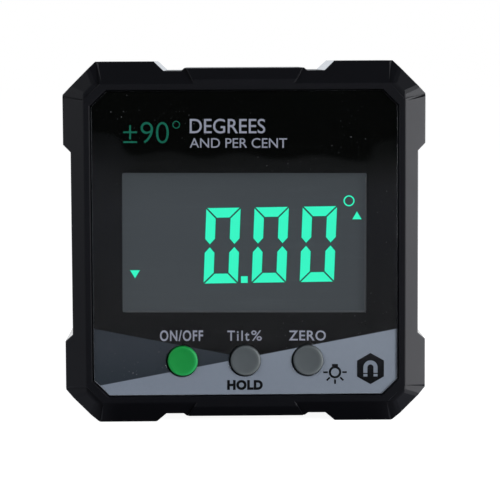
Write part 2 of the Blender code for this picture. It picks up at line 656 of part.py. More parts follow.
def display_stack(glass, frosted, white, rubber):
    """Liquid crystal glass, its light guide, the frame that holds both, and the strip that joins it to the board."""
    half = GLASS_WIDTH / 2
    tall = GLASS_HEIGHT / 2
    finish(box("display_glass", (-half, LENS_SEAT, -tall), (half, GLASS_BACK, tall)), glass)
    guide_x = half - GAP
    finish(box("backlight_guide", (-guide_x, GUIDE_FRONT, GUIDE_BOTTOM), (guide_x, GUIDE_BACK, GUIDE_TOP)), frosted)
    frame_x = half + FRAME_WALL
    frame_z = tall + FRAME_WALL
    frame = box("display_frame", (-frame_x, FRAME_FRONT, -frame_z), (frame_x, BOARD_FRONT - GAP, frame_z))
    shape(frame, box("glass_pocket", (-half - GAP, FRAME_FRONT - REACH, -tall - GAP),
                     (half + GAP, GUIDE_FRONT, tall + GAP)))
    shape(frame, box("guide_pocket", (-half, GUIDE_FRONT - REACH, GUIDE_BOTTOM - GAP),
                     (half, GUIDE_BACK + GAP, GUIDE_TOP + GAP)))
    light_x = half - FRAME_LEDGE
    shape(frame, box("light_window", (-light_x, GUIDE_BACK, GUIDE_BOTTOM + FRAME_LEDGE),
                     (light_x, BOARD_FRONT + REACH, GUIDE_TOP - FRAME_LEDGE)))
    slot_x = CONNECTOR_LENGTH / 2 + GAP
    slot_z = CONNECTOR_WIDTH / 2 + GAP
    shape(frame, box("connector_slot", (-slot_x, FRAME_FRONT - REACH, CONNECTOR_Z - slot_z),
                     (slot_x, BOARD_FRONT + REACH, CONNECTOR_Z + slot_z)))
    finish(frame, white)
    strip = box("display_connector", (-CONNECTOR_LENGTH / 2, GUIDE_FRONT, CONNECTOR_Z - CONNECTOR_WIDTH / 2),
                (CONNECTOR_LENGTH / 2, BOARD_FRONT - GAP, CONNECTOR_Z + CONNECTOR_WIDTH / 2))
    finish(strip, rubber)
    led_x = light_x - GAP - LED_WIDTH / 2
    for name, x in (("backlight_led_left", -led_x), ("backlight_led_right", led_x)):
        led = box(name, (x - LED_WIDTH / 2, GUIDE_BACK + GAP, -LED_HEIGHT / 2),
                  (x + LED_WIDTH / 2, BOARD_FRONT - GAP, LED_HEIGHT / 2))
        finish(led, white)


def button_cap(name, x, plastic):
    """Turned cap: dished face, round edge, a flange that stops it behind the front plate, and a short stem."""
    face = LENS_FRONT - CAP_PROUD
    rim = CAP_RADIUS - CAP_EDGE
    profile = [
        (0, -CAP_DISH),
        (rim * 0.5, -CAP_DISH * 0.75),
        (rim, 0),
        (CAP_RADIUS - CAP_EDGE * 0.3, -CAP_EDGE * 0.3),
        (CAP_RADIUS, -CAP_EDGE),
        (CAP_RADIUS, face - FLANGE_FRONT),
        (CAP_FLANGE_RADIUS, face - FLANGE_FRONT),
        (CAP_FLANGE_RADIUS, face - FLANGE_BACK),
        (CAP_STEM_RADIUS, face - FLANGE_BACK),
        (CAP_STEM_RADIUS, face - STEM_END),
        (0, face - STEM_END),
    ]
    place = (x, face, MIDDLE - BUTTON_BELOW_CENTRE)
    return finish(turned(f"{name}_button", profile, place, FACING_FRONT, FINE_SIDES), plastic, True)


def tactile_switch(name, x, black, nylon):
    """Square switch on the board and the plunger that a cap presses into it."""
    z = -BUTTON_BELOW_CENTRE
    reach = SWITCH_SIZE / 2
    body = box(f"{name}_switch", (x - reach, SWITCH_FRONT, z - reach), (x + reach, SWITCH_BACK, z + reach))
    shape(body, rod(f"{name}_switch_bore", x, z, PLUNGER_RADIUS + GAP, SWITCH_FRONT - REACH,
                    SWITCH_FRONT + PLUNGER_SUNK + BUTTON_TRAVEL + GAP / 2))
    finish(body, black)
    length = PLUNGER_PROUD + PLUNGER_SUNK
    profile = [(0, 0), (PLUNGER_RADIUS, 0), (PLUNGER_RADIUS, -length), (0, -length)]
    plunger = turned(f"{name}_plunger", profile, (x, PLUNGER_FRONT, MIDDLE + z), FACING_FRONT)
    return finish(plunger, nylon, True)


def main_board(resin):
    """Circuit board with cut corners that clear the housing bosses."""
    loops = [chamfered_square(BOARD_HALF, BOARD_CHAMFER)]
    for sign_x, sign_z in SIGNS:
        loops.append(circle(sign_x * POST_X, sign_z * POST_Z, screw_hole(BOARD_SCREW), SMALL_SIDES))
    return finish(plate("main_board", loops, BOARD_FRONT, BOARD_BACK), resin)


def board_chips(black, sheet):
    """Tilt sensor and controller, soldered to the back of the board."""
    front = BOARD_BACK + GAP
    for name, size, x, surface in (("level_sensor", SENSOR_SIZE, 0.0, sheet),
                                   ("controller_chip", CONTROLLER_SIZE, -BUTTON_PITCH, black)):
        reach = size / 2
        chip = box(name, (x - reach, front, CHIP_ROW - reach), (x + reach, front + CHIP_HEIGHT, CHIP_ROW + reach))
        finish(chip, surface)


def screw(name, size, place, surface):
    """Pan head screw seen from the back, with a cross recess; its origin is on the top of the head."""
    shank, head, head_height, length = size
    edge = head_height * 0.3
    profile = [
        (0, 0),
        (head - edge, 0),
        (head, -edge),
        (head, -head_height),
        (shank, -head_height),
        (shank, -head_height - length + shank),
        (0, -head_height - length),
    ]
    piece = turned(name, profile, place, FACING_BACK, SMALL_SIDES)
    x, y, z = place
    arm = head * RECESS_SHARE
    depth = head_height * 0.6
    for index, (wide, tall) in enumerate(((arm, RECESS_WIDTH / 2), (RECESS_WIDTH / 2, arm))):
        cutter = box(f"{name}_recess_{index}", (x - wide, y - depth, z - MIDDLE - tall),
                     (x + wide, y + REACH, z - MIDDLE + tall))
        shape(piece, cutter)
    return finish(piece, surface, True)


def fasteners(steel):
    """Four housing screws, four board screws and the battery cover's screw."""
    head_top = BACK - HOUSING_SCREW_DEPTH + HOUSING_SCREW[2]
    board_top = BOARD_BACK + GAP + BOARD_SCREW[2]
    for index, (sign_x, sign_z) in enumerate(SIGNS, start=1):
        screw(f"housing_screw_{index}", HOUSING_SCREW,
              (sign_x * BOSS_AT, head_top, MIDDLE + sign_z * BOSS_AT), steel)
        screw(f"board_screw_{index}", BOARD_SCREW,
              (sign_x * POST_X, board_top, MIDDLE + sign_z * POST_Z), steel)
    screw("battery_cover_screw", COVER_SCREW, (0, BACK, MIDDLE - COVER_SCREW_Z), steel)


def cell(name, side, jacket):
    """One AAA cell; its plus end points to -X in the upper seat and to +X in the lower one."""
    radius = CELL_DIAMETER / 2
    profile = [
        (0, 0),
        (CELL_NUB_RADIUS, 0),
        (CELL_NUB_RADIUS, -CELL_NUB_LENGTH),
        (radius - CELL_SHOULDER, -CELL_NUB_LENGTH),
        (radius, -CELL_NUB_LENGTH - CELL_SHOULDER),
        (radius, -CELL_LENGTH + CELL_SHOULDER),
        (radius - CELL_SHOULDER, -CELL_LENGTH),
        (0, -CELL_LENGTH),
    ]
    tip = TRAY_HALF_X - 2 * GAP - CONTACT_PLATE
    turn = FACING_LEFT if side > 0 else FACING_RIGHT
    piece = turned(name, profile, (-side * tip, CELL_Y, MIDDLE + side * CELL_SPACING), turn, ROUND_SIDES)
    return finish(piece, jacket, True)


def coil_spring(name, side, steel):
    """Round wire spring that presses on the minus end of a cell."""
    curve = bpy.data.curves.new(name, "CURVE")
    curve.dimensions = "3D"
    curve.bevel_depth = SPRING_WIRE / 2
    curve.bevel_resolution = 2
    curve.use_fill_caps = True
    spline = curve.splines.new("POLY")
    steps = SPRING_TURNS * SMALL_SIDES
    spline.points.add(steps)
    rise = SPRING_LENGTH - SPRING_WIRE
    start = TRAY_HALF_X - 2 * GAP - CONTACT_PLATE - SPRING_WIRE / 2
    for index, point in enumerate(spline.points):
        turn = 2 * math.pi * index / SMALL_SIDES
        x = side * (start - rise * index / steps)
        y = CELL_Y + SPRING_RADIUS * math.cos(turn)
        z = MIDDLE + side * CELL_SPACING + SPRING_RADIUS * math.sin(turn)
        point.co = (x, y, z, 1)
    return finish(as_mesh(add_object(name, curve)), steel, True)


def battery_contacts(steel):
    """Link plate on the left, one plate for each pole on the right, springs, and pins down to the board."""
    low = CELL_Y - CONTACT_SIZE / 2
    high = CELL_Y + CONTACT_SIZE / 2
    thick = CONTACT_PLATE / 2
    reach = CONTACT_SIZE / 2
    tall = CELL_SPACING + reach
    finish(box("battery_link_plate", (-PLATE_X - thick, low, -tall), (-PLATE_X + thick, high, tall)), steel)
    for pole, side in (("minus", 1), ("plus", -1)):
        z = side * CELL_SPACING
        finish(box(f"battery_contact_{pole}", (PLATE_X - thick, low, z - reach), (PLATE_X + thick, high, z + reach)),
               steel)
        pin = rod(f"contact_pin_{pole}", PLATE_X, z, PIN_RADIUS, BOARD_BACK + GAP, low - GAP, SMALL_SIDES)
        finish(pin, steel, True)
    coil_spring("battery_spring_upper", 1, steel)
    coil_spring("battery_spring_lower", -1, steel)


def cover_seal_loops(half_width):
    """Loops of the battery cover's seal or its groove round the mouth of the tray."""
    loops = []
    for offset in (COVER_SEAL_INSET + half_width, COVER_SEAL_INSET - half_width):
        x = TRAY_HALF_X + offset
        z = TRAY_HALF_Z + offset
        loops.append(rectangle(-x, x, -z, z))
    return loops


def battery_cover(plastic, rubber):
    """Screwed cover over the cells, with two tabs at its upper edge, and its seal."""
    outline = rectangle(-COVER_HALF_X, COVER_HALF_X, -COVER_BOTTOM, COVER_TOP, COVER_CORNER)
    hole = circle(0, -COVER_SCREW_Z, screw_hole(COVER_SCREW), ROUND_SIDES)
    cover = plate("battery_cover", [outline, hole], COVER_INNER, BACK)
    for side in (-1, 1):
        x = side * COVER_TAB_SPACING / 2
        tab = box(f"cover_tab_{side}", (x - COVER_TAB_WIDTH / 2, COVER_INNER, COVER_TOP - REACH),
                  (x + COVER_TAB_WIDTH / 2, COVER_INNER + COVER_TAB_THICKNESS, COVER_TOP + COVER_TAB_LENGTH))
        shape(cover, tab, "UNION")
    shape(cover, rod("cover_head_pocket", 0, -COVER_SCREW_Z, screw_head_space(COVER_SCREW),
                     BACK - COVER_SCREW[2] - GAP, BACK + REACH))
    finish(cover, plastic)
    seal = plate("battery_cover_seal", cover_seal_loops(COVER_SEAL_WIDTH / 2), COVER_SEAT - COVER_SEAL_HEIGHT,
                 COVER_SEAT)
    return finish(seal, rubber)


def magnets(plated):
    """Disc magnets set just under the faces of the lower lugs."""
    for index, (x, depth) in enumerate(magnet_places(), start=1):
        disc = magnet_disc(f"magnet_{index}", x, depth, MAGNET_RADIUS, GAP, GAP + MAGNET_HEIGHT)
        finish(disc, plated, True)


def build():
    """Model the whole gauge."""
    for old in list(bpy.data.objects):
        bpy.data.objects.remove(old)
    black = material("satin_black_plastic", (0.012, 0.013, 0.016), 0.42)
    rubber = material("black_rubber", (0.02, 0.02, 0.02), 0.8)
    steel = material("plated_steel", (0.6, 0.6, 0.58), 0.3, 1.0)
    white = material("white_plastic", (0.8, 0.8, 0.78), 0.5)
    front_housing(black)
    rear_cover(black)
    housing_seal(rubber)
    front_lens(material("smoked_window", (0.01, 0.011, 0.012), 0.06))
    display_stack(material("display_glass", (0.055, 0.06, 0.066), 0.15), material("frosted_guide", (0.7, 0.75, 0.7), 0.4),
                  white, rubber)
    caps = {
        "power": material("green_button", (0.01, 0.21, 0.04), 0.45),
        "hold": material("grey_button", (0.07, 0.085, 0.095), 0.45),
        "zero": material("second_grey_button", (0.07, 0.085, 0.095), 0.45),
    }
    chip = material("chip_black", (0.02, 0.02, 0.022), 0.5)
    for name, x in BUTTONS:
        button_cap(name, x, caps[name])
        tactile_switch(name, x, chip, white)
    main_board(material("board_green", (0.01, 0.12, 0.05), 0.4))
    board_chips(chip, steel)
    fasteners(steel)
    jacket = material("cell_jacket", (0.09, 0.1, 0.12), 0.35, 0.3)
    cell("battery_upper", 1, jacket)
    cell("battery_lower", -1, jacket)
    battery_contacts(steel)
    battery_cover(black, rubber)
    magnets(steel)


build()
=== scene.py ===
"""Looks of a square digital angle gauge: shells, printed window, glowing display, keys and studio.

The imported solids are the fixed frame. Sizes here are in millimetres, seen from the front: x to the
right and z up from the middle of the body, y along the depth. They become metres when a mesh is
made.
"""

import logging
import math
from dataclasses import dataclass
from enum import Enum
from typing import Any, Callable, Sequence

import bmesh
import bpy
from mathutils import Matrix, Vector


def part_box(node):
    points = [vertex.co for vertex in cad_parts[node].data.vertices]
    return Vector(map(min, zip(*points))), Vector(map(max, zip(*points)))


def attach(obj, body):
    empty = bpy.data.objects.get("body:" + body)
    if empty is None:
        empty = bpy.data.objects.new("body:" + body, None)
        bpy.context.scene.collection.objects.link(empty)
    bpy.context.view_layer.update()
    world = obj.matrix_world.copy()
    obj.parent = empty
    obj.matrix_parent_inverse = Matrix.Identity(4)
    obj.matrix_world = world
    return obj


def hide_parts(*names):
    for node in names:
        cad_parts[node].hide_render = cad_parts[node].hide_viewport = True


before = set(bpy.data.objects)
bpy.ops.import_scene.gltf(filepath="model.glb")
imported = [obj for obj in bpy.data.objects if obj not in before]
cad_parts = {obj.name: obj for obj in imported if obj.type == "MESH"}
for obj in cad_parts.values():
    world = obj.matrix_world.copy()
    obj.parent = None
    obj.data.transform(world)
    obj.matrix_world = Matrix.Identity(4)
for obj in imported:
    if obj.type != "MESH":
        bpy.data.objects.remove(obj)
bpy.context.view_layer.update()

LOG = logging.getLogger("angle_gauge")
MM = 0.001
MIDDLE_HEIGHT = 31.0
WELD_DISTANCE = 0.002
FLAT_ANGLE = math.radians(0.4)
CREASE_ANGLE = math.radians(40)
CORNER_ANGLE = math.radians(60)
LATHE_SIDES = 96
SHARPEST_MITRE = 0.2
FARTHEST_MITRE = 2
SLIVER_TILT = 0.5
ARC_SIDES = 16
CORNER_SIDES = 6
FONT_STEPS = 6
KEY_PITCH = 10.75
KEY_HEIGHT = -20.2
KEY_RADIUS = 2.575
PRINT_TURN = -0.36

Point = tuple[float, float]
Span = tuple[float, float]
Grain = tuple[float, float]
Triple = tuple[float, float, float]
Colour = tuple[float, float, float]
Loop = list[Point]

BLACK: Colour = (0.0, 0.0, 0.0)
WHITE: Colour = (1.0, 1.0, 1.0)
LAMP_COLOUR: Colour = (0.95, 0.955, 1.0)


class Body(Enum):
    """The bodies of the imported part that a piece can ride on."""

    HOUSING = "housing"
    POWER = "power_key"
    HOLD = "hold_key"
    ZERO = "zero_key"


class Slot(Enum):
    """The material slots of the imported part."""

    HOUSING = "housing"
    LENS = "lens"
    DISPLAY = "display"
    CHIP = "chip"
    GREEN_KEY = "green_button"
    GREY_KEY = "grey_button"
    STEEL = "plated_steel"


class Signal:
    """A number or a vector inside a node tree; an expression on it adds the nodes it needs."""

    def __init__(self, sheet: "NodeSheet", socket: bpy.types.NodeSocket) -> None:
        """Wrap an output socket of a node tree."""
        self.sheet = sheet
        self.socket = socket

    def __add__(self, other: "Signal | float") -> "Signal":
        """Sum."""
        return self.sheet.maths("ADD", self, other)

    def __radd__(self, other: float) -> "Signal":
        """Sum with a number on the left."""
        return self.sheet.maths("ADD", other, self)

    def __sub__(self, other: "Signal | float") -> "Signal":
        """Difference."""
        return self.sheet.maths("SUBTRACT", self, other)

    def __rsub__(self, other: float) -> "Signal":
        """Difference from a number."""
        return self.sheet.maths("SUBTRACT", other, self)

    def __mul__(self, other: "Signal | float") -> "Signal":
        """Product."""
        return self.sheet.maths("MULTIPLY", self, other)

    def __rmul__(self, other: float) -> "Signal":
        """Product with a number on the left."""
        return self.sheet.maths("MULTIPLY", other, self)

    def __neg__(self) -> "Signal":
        """The number with its sign turned."""
        return self.sheet.maths("MULTIPLY", self, -1.0)

    def __truediv__(self, other: "Signal | float") -> "Signal":
        """Quotient."""
        return self.sheet.maths("DIVIDE", self, other)

    def largest(self, other: "Signal | float") -> "Signal":
        """The larger of two numbers."""
        return self.sheet.maths("MAXIMUM", self, other)

    def size(self) -> "Signal":
        """The number without its sign."""
        return self.sheet.maths("ABSOLUTE", self)

    def wave(self) -> "Signal":
        """The sine of the number."""
        return self.sheet.maths("SINE", self)

    def step(self, low: float, high: float) -> "Signal":
        """A soft step from 0 where the number is low to 1 where it is high."""
        return self.sheet.signal("ShaderNodeMapRange", {"interpolation_type": "SMOOTHSTEP"},
                                 {"Value": self, "From Min": low, "From Max": high})


class NodeSheet:
    """The nodes of one material, world or shape tree."""

    def __init__(self, tree: bpy.types.NodeTree) -> None:
        """Start on a node tree."""
        self.tree = tree

    def add(self, kind: str, settings: dict[str, Any] | None = None,
            sockets: dict[str | int, Any] | None = None) -> bpy.types.Node:
        """Add one node.

        Args:
            kind: the node's type.
            settings: attributes, set first.
            sockets: values or links for its input sockets, by name or number.

        Returns:
            The node.
        """
        node = self.tree.nodes.new(kind)
        for name, value in (settings or {}).items():
            setattr(node, name, value)
        self.connect(node, sockets or {})
        return node

    def connect(self, node: bpy.types.Node, values: dict[str | int, Any]) -> None:
        """Set input sockets of a node.

        Args:
            node: the node.
            values: a Signal, an output socket, a colour or a number for each socket.
        """
        for key, value in values.items():
            socket = node.inputs[key]
            if isinstance(value, Signal):
                self.tree.links.new(value.socket, socket)
            elif isinstance(value, bpy.types.NodeSocket):
                self.tree.links.new(value, socket)
            elif socket.type == "RGBA" and len(value) == 3:
                socket.default_value = (*value, 1.0)
            else:
                socket.default_value = value

    def signal(self, kind: str, settings: dict[str, Any] | None = None,
               sockets: dict[str | int, Any] | None = None, output: str | int = 0) -> Signal:
        """Add a node and wrap one of its outputs.

        Args:
            kind: the node's type.
            settings: attributes, set first.
            sockets: values or links for its input sockets.
            output: the output's name or number.

        Returns:
            The wrapped output.
        """
        return Signal(self, self.add(kind, settings, sockets).outputs[output])

    def maths(self, operation: str, *values: Signal | float) -> Signal:
        """The result of a Math node."""
        return self.signal("ShaderNodeMath", {"operation": operation}, dict(enumerate(values)))

    def mixed(self, share: Signal | float, first: Any, second: Any) -> Signal:
        """Two colours mixed, with the share of the second."""
        return self.signal("ShaderNodeMix", {"data_type": "RGBA"}, {0: share, 6: first, 7: second},
                           2)

    def layered(self, ground_colour: Any, layers: Sequence[tuple[Signal, Any]]) -> Signal:
        """Lay colours over each other.

        Args:
            ground_colour: the lowest colour.
            layers: each layer's share, 0 to 1, and its colour, the lowest layer first.

        Returns:
            The colour that is seen.
        """
        seen = ground_colour
        for share, colour in layers:
            seen = self.mixed(share, seen, colour)
        return seen

    def place(self) -> Signal:
        """The point of the surface in the object's own frame, in metres."""
        return self.signal("ShaderNodeTexCoord", output="Object")

    def parts(self, vector: Signal) -> tuple[Signal, Signal, Signal]:
        """Split a vector into its three numbers."""
        split = self.add("ShaderNodeSeparateXYZ", None, {0: vector})
        return tuple(Signal(self, socket) for socket in split.outputs)

    def axes(self, point: Signal) -> tuple[Signal, Signal, Signal]:
        """A point's x, y and height from the middle of the body, in millimetres."""
        x, y, z = (part / MM for part in self.parts(point))
        return x, y, z - MIDDLE_HEIGHT

    def noise(self, point: Signal, grain: float, detail: float = 2.0) -> Signal:
        """Noise around 0.5 with clouds of a size in millimetres and a number of finer layers."""
        return self.signal("ShaderNodeTexNoise", None,
                           {"Vector": point, "Scale": 1 / (grain * MM), "Detail": detail}, "Fac")

    def bump(self, height: Signal, strength: float, depth: float) -> Signal:
        """The normal of a surface raised by a height whose step from 0 to 1 has a depth in mm."""
        return self.signal("ShaderNodeBump", None,
                           {"Height": height, "Strength": strength, "Distance": depth * MM})

    def rays(self, *kinds: str) -> Signal:
        """Whether light reaches the eye by one of some kinds of ray.

        Args:
            kinds: the kinds, as the Light Path node names them without its Is and Ray.

        Returns:
            1 where it does, otherwise 0.
        """
        path = self.add("ShaderNodeLightPath")
        found = Signal(self, path.outputs[f"Is {kinds[0]} Ray"])
        for kind in kinds[1:]:
            found = found.largest(Signal(self, path.outputs[f"Is {kind} Ray"]))
        return found


def shades(colour: Colour, *shares: float) -> tuple[Colour, ...]:
    """A colour made darker or lighter by each of some factors."""
    return tuple(tuple(part * share for part in colour) for share in shares)


@dataclass(frozen=True)
class Base:
    """What every finish starts from: its nodes, the surface's point, clouds, colour, roughness."""

    sheet: NodeSheet
    point: Signal
    cloud: Signal
    tone: Signal | Colour
    rough: Signal


@dataclass(frozen=True)
class Finish:
    """A surface whose colour drifts between two tones, and its roughness with marks.

    A grain is the size of its clouds in millimetres and its number of finer layers. The relief is
    the bump's share and its depth in millimetres.
    """

    name: str
    colour: Colour = BLACK
    tones: Span | None = None
    cloud: Grain = (1.0, 2.0)
    marks: Grain | None = None
    roughness: Span = (0.5, 0.1)
    specular: float = 0.5
    grain: Grain | None = None
    relief: Span = (0.25, 0.02)

    def material(self) -> bpy.types.Material:
        """Return the finish's material, made when it is first asked for.

        Returns:
            The material.
        """
        found = bpy.data.materials.get(self.name)
        if found is None:
            found = bpy.data.materials.new(self.name)
            found.use_nodes = True
            self.dress(NodeSheet(found.node_tree), found.node_tree.nodes["Principled BSDF"])
        return found

    def dress(self, sheet: NodeSheet, shader: bpy.types.Node) -> None:
        """Connect the finish to a shader.

        Args:
            sheet: the material's nodes.
            shader: the material's Principled shader.
        """
        point = sheet.place()
        cloud = sheet.noise(point, *self.cloud)
        tone = sheet.mixed(cloud, *shades(self.colour, *self.tones)) if self.tones else self.colour
        marks = sheet.noise(point, *self.marks) if self.marks else cloud
        base = Base(sheet, point, cloud, tone, self.roughness[0] + marks * self.roughness[1])
        inputs = {"Base Color": tone, "Roughness": base.rough,
                  "Specular IOR Level": self.specular}
        if self.grain:
            inputs["Normal"] = sheet.bump(sheet.noise(point, *self.grain), *self.relief)
        sheet.connect(shader, {**inputs, **self.own(base)})

    def own(self, base: Base) -> dict[str, Any]:
        """The shader's inputs that this kind of finish sets in its own way: none here."""
        return {}


@dataclass(frozen=True)
class MouldedPlastic(Finish):
    """Moulded plastic with a fine eroded grain, faint cloudiness and handling marks."""

    tones: Span = (0.88, 1.12)
    cloud: Grain = (9.0, 3.0)
    marks: Grain = (4.0, 4.0)
    roughness: Span = (0.4, 0.1)
    grain: Grain = (0.16, 1.0)


@dataclass(frozen=True)
class Ink(Finish):
    """Flat printing ink with a faint screen-print mottle."""

    tones: Span = (0.88, 1.0)
    cloud: Grain = (0.25, 2.0)
    roughness: Span = (0.55, 0.1)
    specular: float = 0.0


@dataclass(frozen=True)
class KeyPlastic(Finish):
    """Satin plastic of a push button, with a painted highlight: paler toward the lower right of its
    rim, where light from the right falls.
    """

    tones: Span = (0.9, 1.1)
    cloud: Grain = (1.2, 3.0)
    roughness: Span = (0.4, 0.12)
    grain: Grain = (0.12, 1.0)
    relief: Span = (0.2, 0.015)
    # Painted highlight: the rim colour is laid only toward the lower right of the cap, where light
    # from the right falls.
    rim_highlight_colour: Colour = (0.115, 0.128, 0.125)
    place: float = 0.0
    radius: float = KEY_RADIUS
    rim: Span = (0.66, 1.02)
    lit_side: Span = (-2.0, 3.2)
    lit_lean: float = 0.7

    def own(self, base: Base) -> dict[str, Any]:
        """Lay the painted highlight, a paler lower-right rim, over the plastic.

        Args:
            base: what the finish starts from.

        Returns:
            The colour.
        """
        x, _, z = base.sheet.axes(base.point)
        across = x - self.place
        up = z - KEY_HEIGHT
        reach = base.sheet.maths("SQRT", across * across + up * up) / self.radius
        # Painted highlight: the rim is paler only toward the lower right, where light from the right
        # falls on the cap.
        rim = reach.step(*self.rim) * (across - up * self.lit_lean).step(*self.lit_side)
        return {"Base Color": base.sheet.mixed(rim, base.tone, self.rim_highlight_colour)}


@dataclass(frozen=True)
class WindowPrint(Finish):
    """The print behind the window: a dark field, a slate wedge at the left, a pale band below."""

    colour: Colour = (0.0014, 0.0016, 0.0014)
    cloud: Grain = (0.5, 2.0)
    specular: float = 0.0
    slate: Colour = (0.0182, 0.023, 0.0282)
    pale_left: Colour = (0.134, 0.155, 0.184)
    pale_right: Colour = (0.14, 0.161, 0.187)
    upper_line: Span = (-19.65, -0.1985)
    lower_line: Span = (-19.65, 0.1864)
    blur: float = 0.05
    half_width: float = 24.0
    mottle: Colour = (0.25, 0.28, 0.33)
    mottle_share: float = 0.1
    dust: Colour = (0.2, 0.205, 0.21)
    dust_share: float = 0.5
    specks: Grain = (0.3, 0.0)
    speck_range: Span = (0.79, 0.82)
    drifts: Grain = (7.0, 1.0)
    drift_range: Span = (0.48, 0.62)

    def own(self, base: Base) -> dict[str, Any]:
        """Lay the printed fields and the dust over each other.

        Args:
            base: what the finish starts from.

        Returns:
            The colour.
        """
        sheet = base.sheet
        x, _, z = sheet.axes(base.point)
        under_upper, under_lower = ((start + x * rise - z).step(-self.blur, self.blur)
                                    for start, rise in (self.upper_line, self.lower_line))
        specks = sheet.noise(base.point, *self.specks).step(*self.speck_range)
        drifts = sheet.noise(base.point, *self.drifts).step(*self.drift_range)
        pale = sheet.mixed(x.step(-self.half_width, self.half_width), self.pale_left,
                           self.pale_right)
        pale = sheet.mixed(base.cloud * self.mottle_share, pale, self.mottle)
        return {"Base Color": sheet.layered(base.tone, [
            (under_upper, self.slate), (under_lower, pale),
            (specks * drifts * self.dust_share, self.dust)])}


@dataclass(frozen=True)
class ClearPane(Finish):
    """Clear acrylic: light passes straight through, and the front mirrors a little."""

    index: float = 1.49
    mirror_roughness: float = 0.02

    def dress(self, sheet: NodeSheet, shader: bpy.types.Node) -> None:
        """Replace the shader by a mix of clear and mirror.

        Args:
            sheet: the material's nodes.
            shader: the material's Principled shader, removed here.
        """
        clear = sheet.add("ShaderNodeBsdfTransparent")
        mirror = sheet.add("ShaderNodeBsdfGlossy", None, {"Roughness": self.mirror_roughness})
        fresnel = sheet.signal("ShaderNodeFresnel", None, {"IOR": self.index})
        front = 1 - sheet.signal("ShaderNodeNewGeometry", output="Backfacing")
        mix = sheet.add("ShaderNodeMixShader", None, {
            0: fresnel * front, 1: clear.outputs[0], 2: mirror.outputs[0]})
        sheet.tree.nodes.remove(shader)
        sheet.connect(sheet.tree.nodes["Material Output"], {"Surface": mix.outputs[0]})


@dataclass(frozen=True)
class LiquidCrystal(Finish):
    """Dark liquid crystal glass whose glow is mostly painted light standing in for the lamps' light
    on the glass, a little of it backlight leaking through; painted dimmer toward the upper right,
    and streaked like its polarising film.
    """

    colour: Colour = (0.008, 0.0095, 0.01)
    tones: Span = (0.93, 1.0)
    cloud: Grain = (14.0, 2.0)
    roughness: Span = (0.32, 0.06)
    specular: float = 0.1
    # Painted light: this glow stands in mostly for the lamps' light on the glass; a little of it is
    # backlight.
    glow: Colour = (0.034, 0.0405, 0.045)
    painted_dim_reach: float = 25.0
    painted_dim_tone: float = 0.92
    streaks: Grain = (0.8, 2.0)
    streak_turn: float = 0.35
    streak_squeeze: float = 0.07
    streak_range: Span = (0.5, 0.8)
    streak_share: float = 0.35
    streak_tone: float = 1.3

    def own(self, base: Base) -> dict[str, Any]:
        """Paint the glass's glow: painted light standing in for lamp light on it, a little of it
        backlight, dimmer toward the upper right and streaked by the film.

        Args:
            base: what the finish starts from.

        Returns:
            The light.
        """
        sheet = base.sheet
        x, _, z = sheet.axes(base.point)
        grazed = sheet.signal("ShaderNodeMapping", None, {
            "Vector": base.point, "Rotation": (0.0, self.streak_turn, 0.0),
            "Scale": (self.streak_squeeze, 1.0, 1.0)})
        streaks = sheet.noise(grazed, *self.streaks).step(*self.streak_range)
        # Painted shade: the glow is made dimmer toward the upper right.
        painted_dim, streaked = shades(self.glow, self.painted_dim_tone, self.streak_tone)
        return {"Emission Strength": 1.0, "Emission Color": sheet.layered(self.glow, [
            ((x + z).step(-self.painted_dim_reach, self.painted_dim_reach), painted_dim),
            (streaks * self.streak_share, streaked)])}


@dataclass(frozen=True)
class Glow(Finish):
    """A lit segment of the display, even apart from a faint unevenness of its backlight."""

    tones: Span = (0.95, 1.0)
    cloud: Grain = (5.0, 1.0)
    specular: float = 0.0

    def own(self, base: Base) -> dict[str, Any]:
        """The light in place of a colour."""
        return {"Base Color": BLACK, "Emission Color": base.tone, "Emission Strength": 1.0}


@dataclass(frozen=True)
class PlatedMetal(Finish):
    """Nickel plate, drawn or turned, with fine scratches and duller patches."""

    colour: Colour = (0.62, 0.61, 0.58)
    tones: Span = (0.82, 1.0)
    cloud: Grain = (1.6, 2.0)
    roughness: Span = (0.2, 0.08)
    relief: Span = (0.15, 0.01)
    drawn: Triple = (1.0, 12.0, 12.0)
    scratches: Grain = (2.0, 4.0)
    scratch_share: float = 0.12

    def own(self, base: Base) -> dict[str, Any]:
        """Draw scratches along the metal.

        Args:
            base: what the finish starts from.

        Returns:
            The metal's roughness and its normal.
        """
        stretched = base.sheet.signal("ShaderNodeMapping", None, {"Vector": base.point,
                                                                  "Scale": self.drawn})
        scratches = base.sheet.noise(stretched, *self.scratches)
        return {"Metallic": 1.0, "Roughness": base.rough + scratches * self.scratch_share,
                "Normal": base.sheet.bump(scratches, *self.relief)}


@dataclass(frozen=True)
class Rubber(Finish):
    """Matt rubber with a dusty bloom."""

    colour: Colour = (0.018, 0.018, 0.019)
    cloud: Grain = (2.5, 4.0)
    roughness: Span = (0.7, 0.15)
    grain: Grain = (0.2, 2.0)
    relief: Span = (0.3, 0.02)
    bloom_colour: Colour = (0.035, 0.035, 0.036)

    def own(self, base: Base) -> dict[str, Any]:
        """The rubber's colour with the bloom on it."""
        return {"Base Color": base.sheet.mixed(base.cloud, base.tone, self.bloom_colour)}


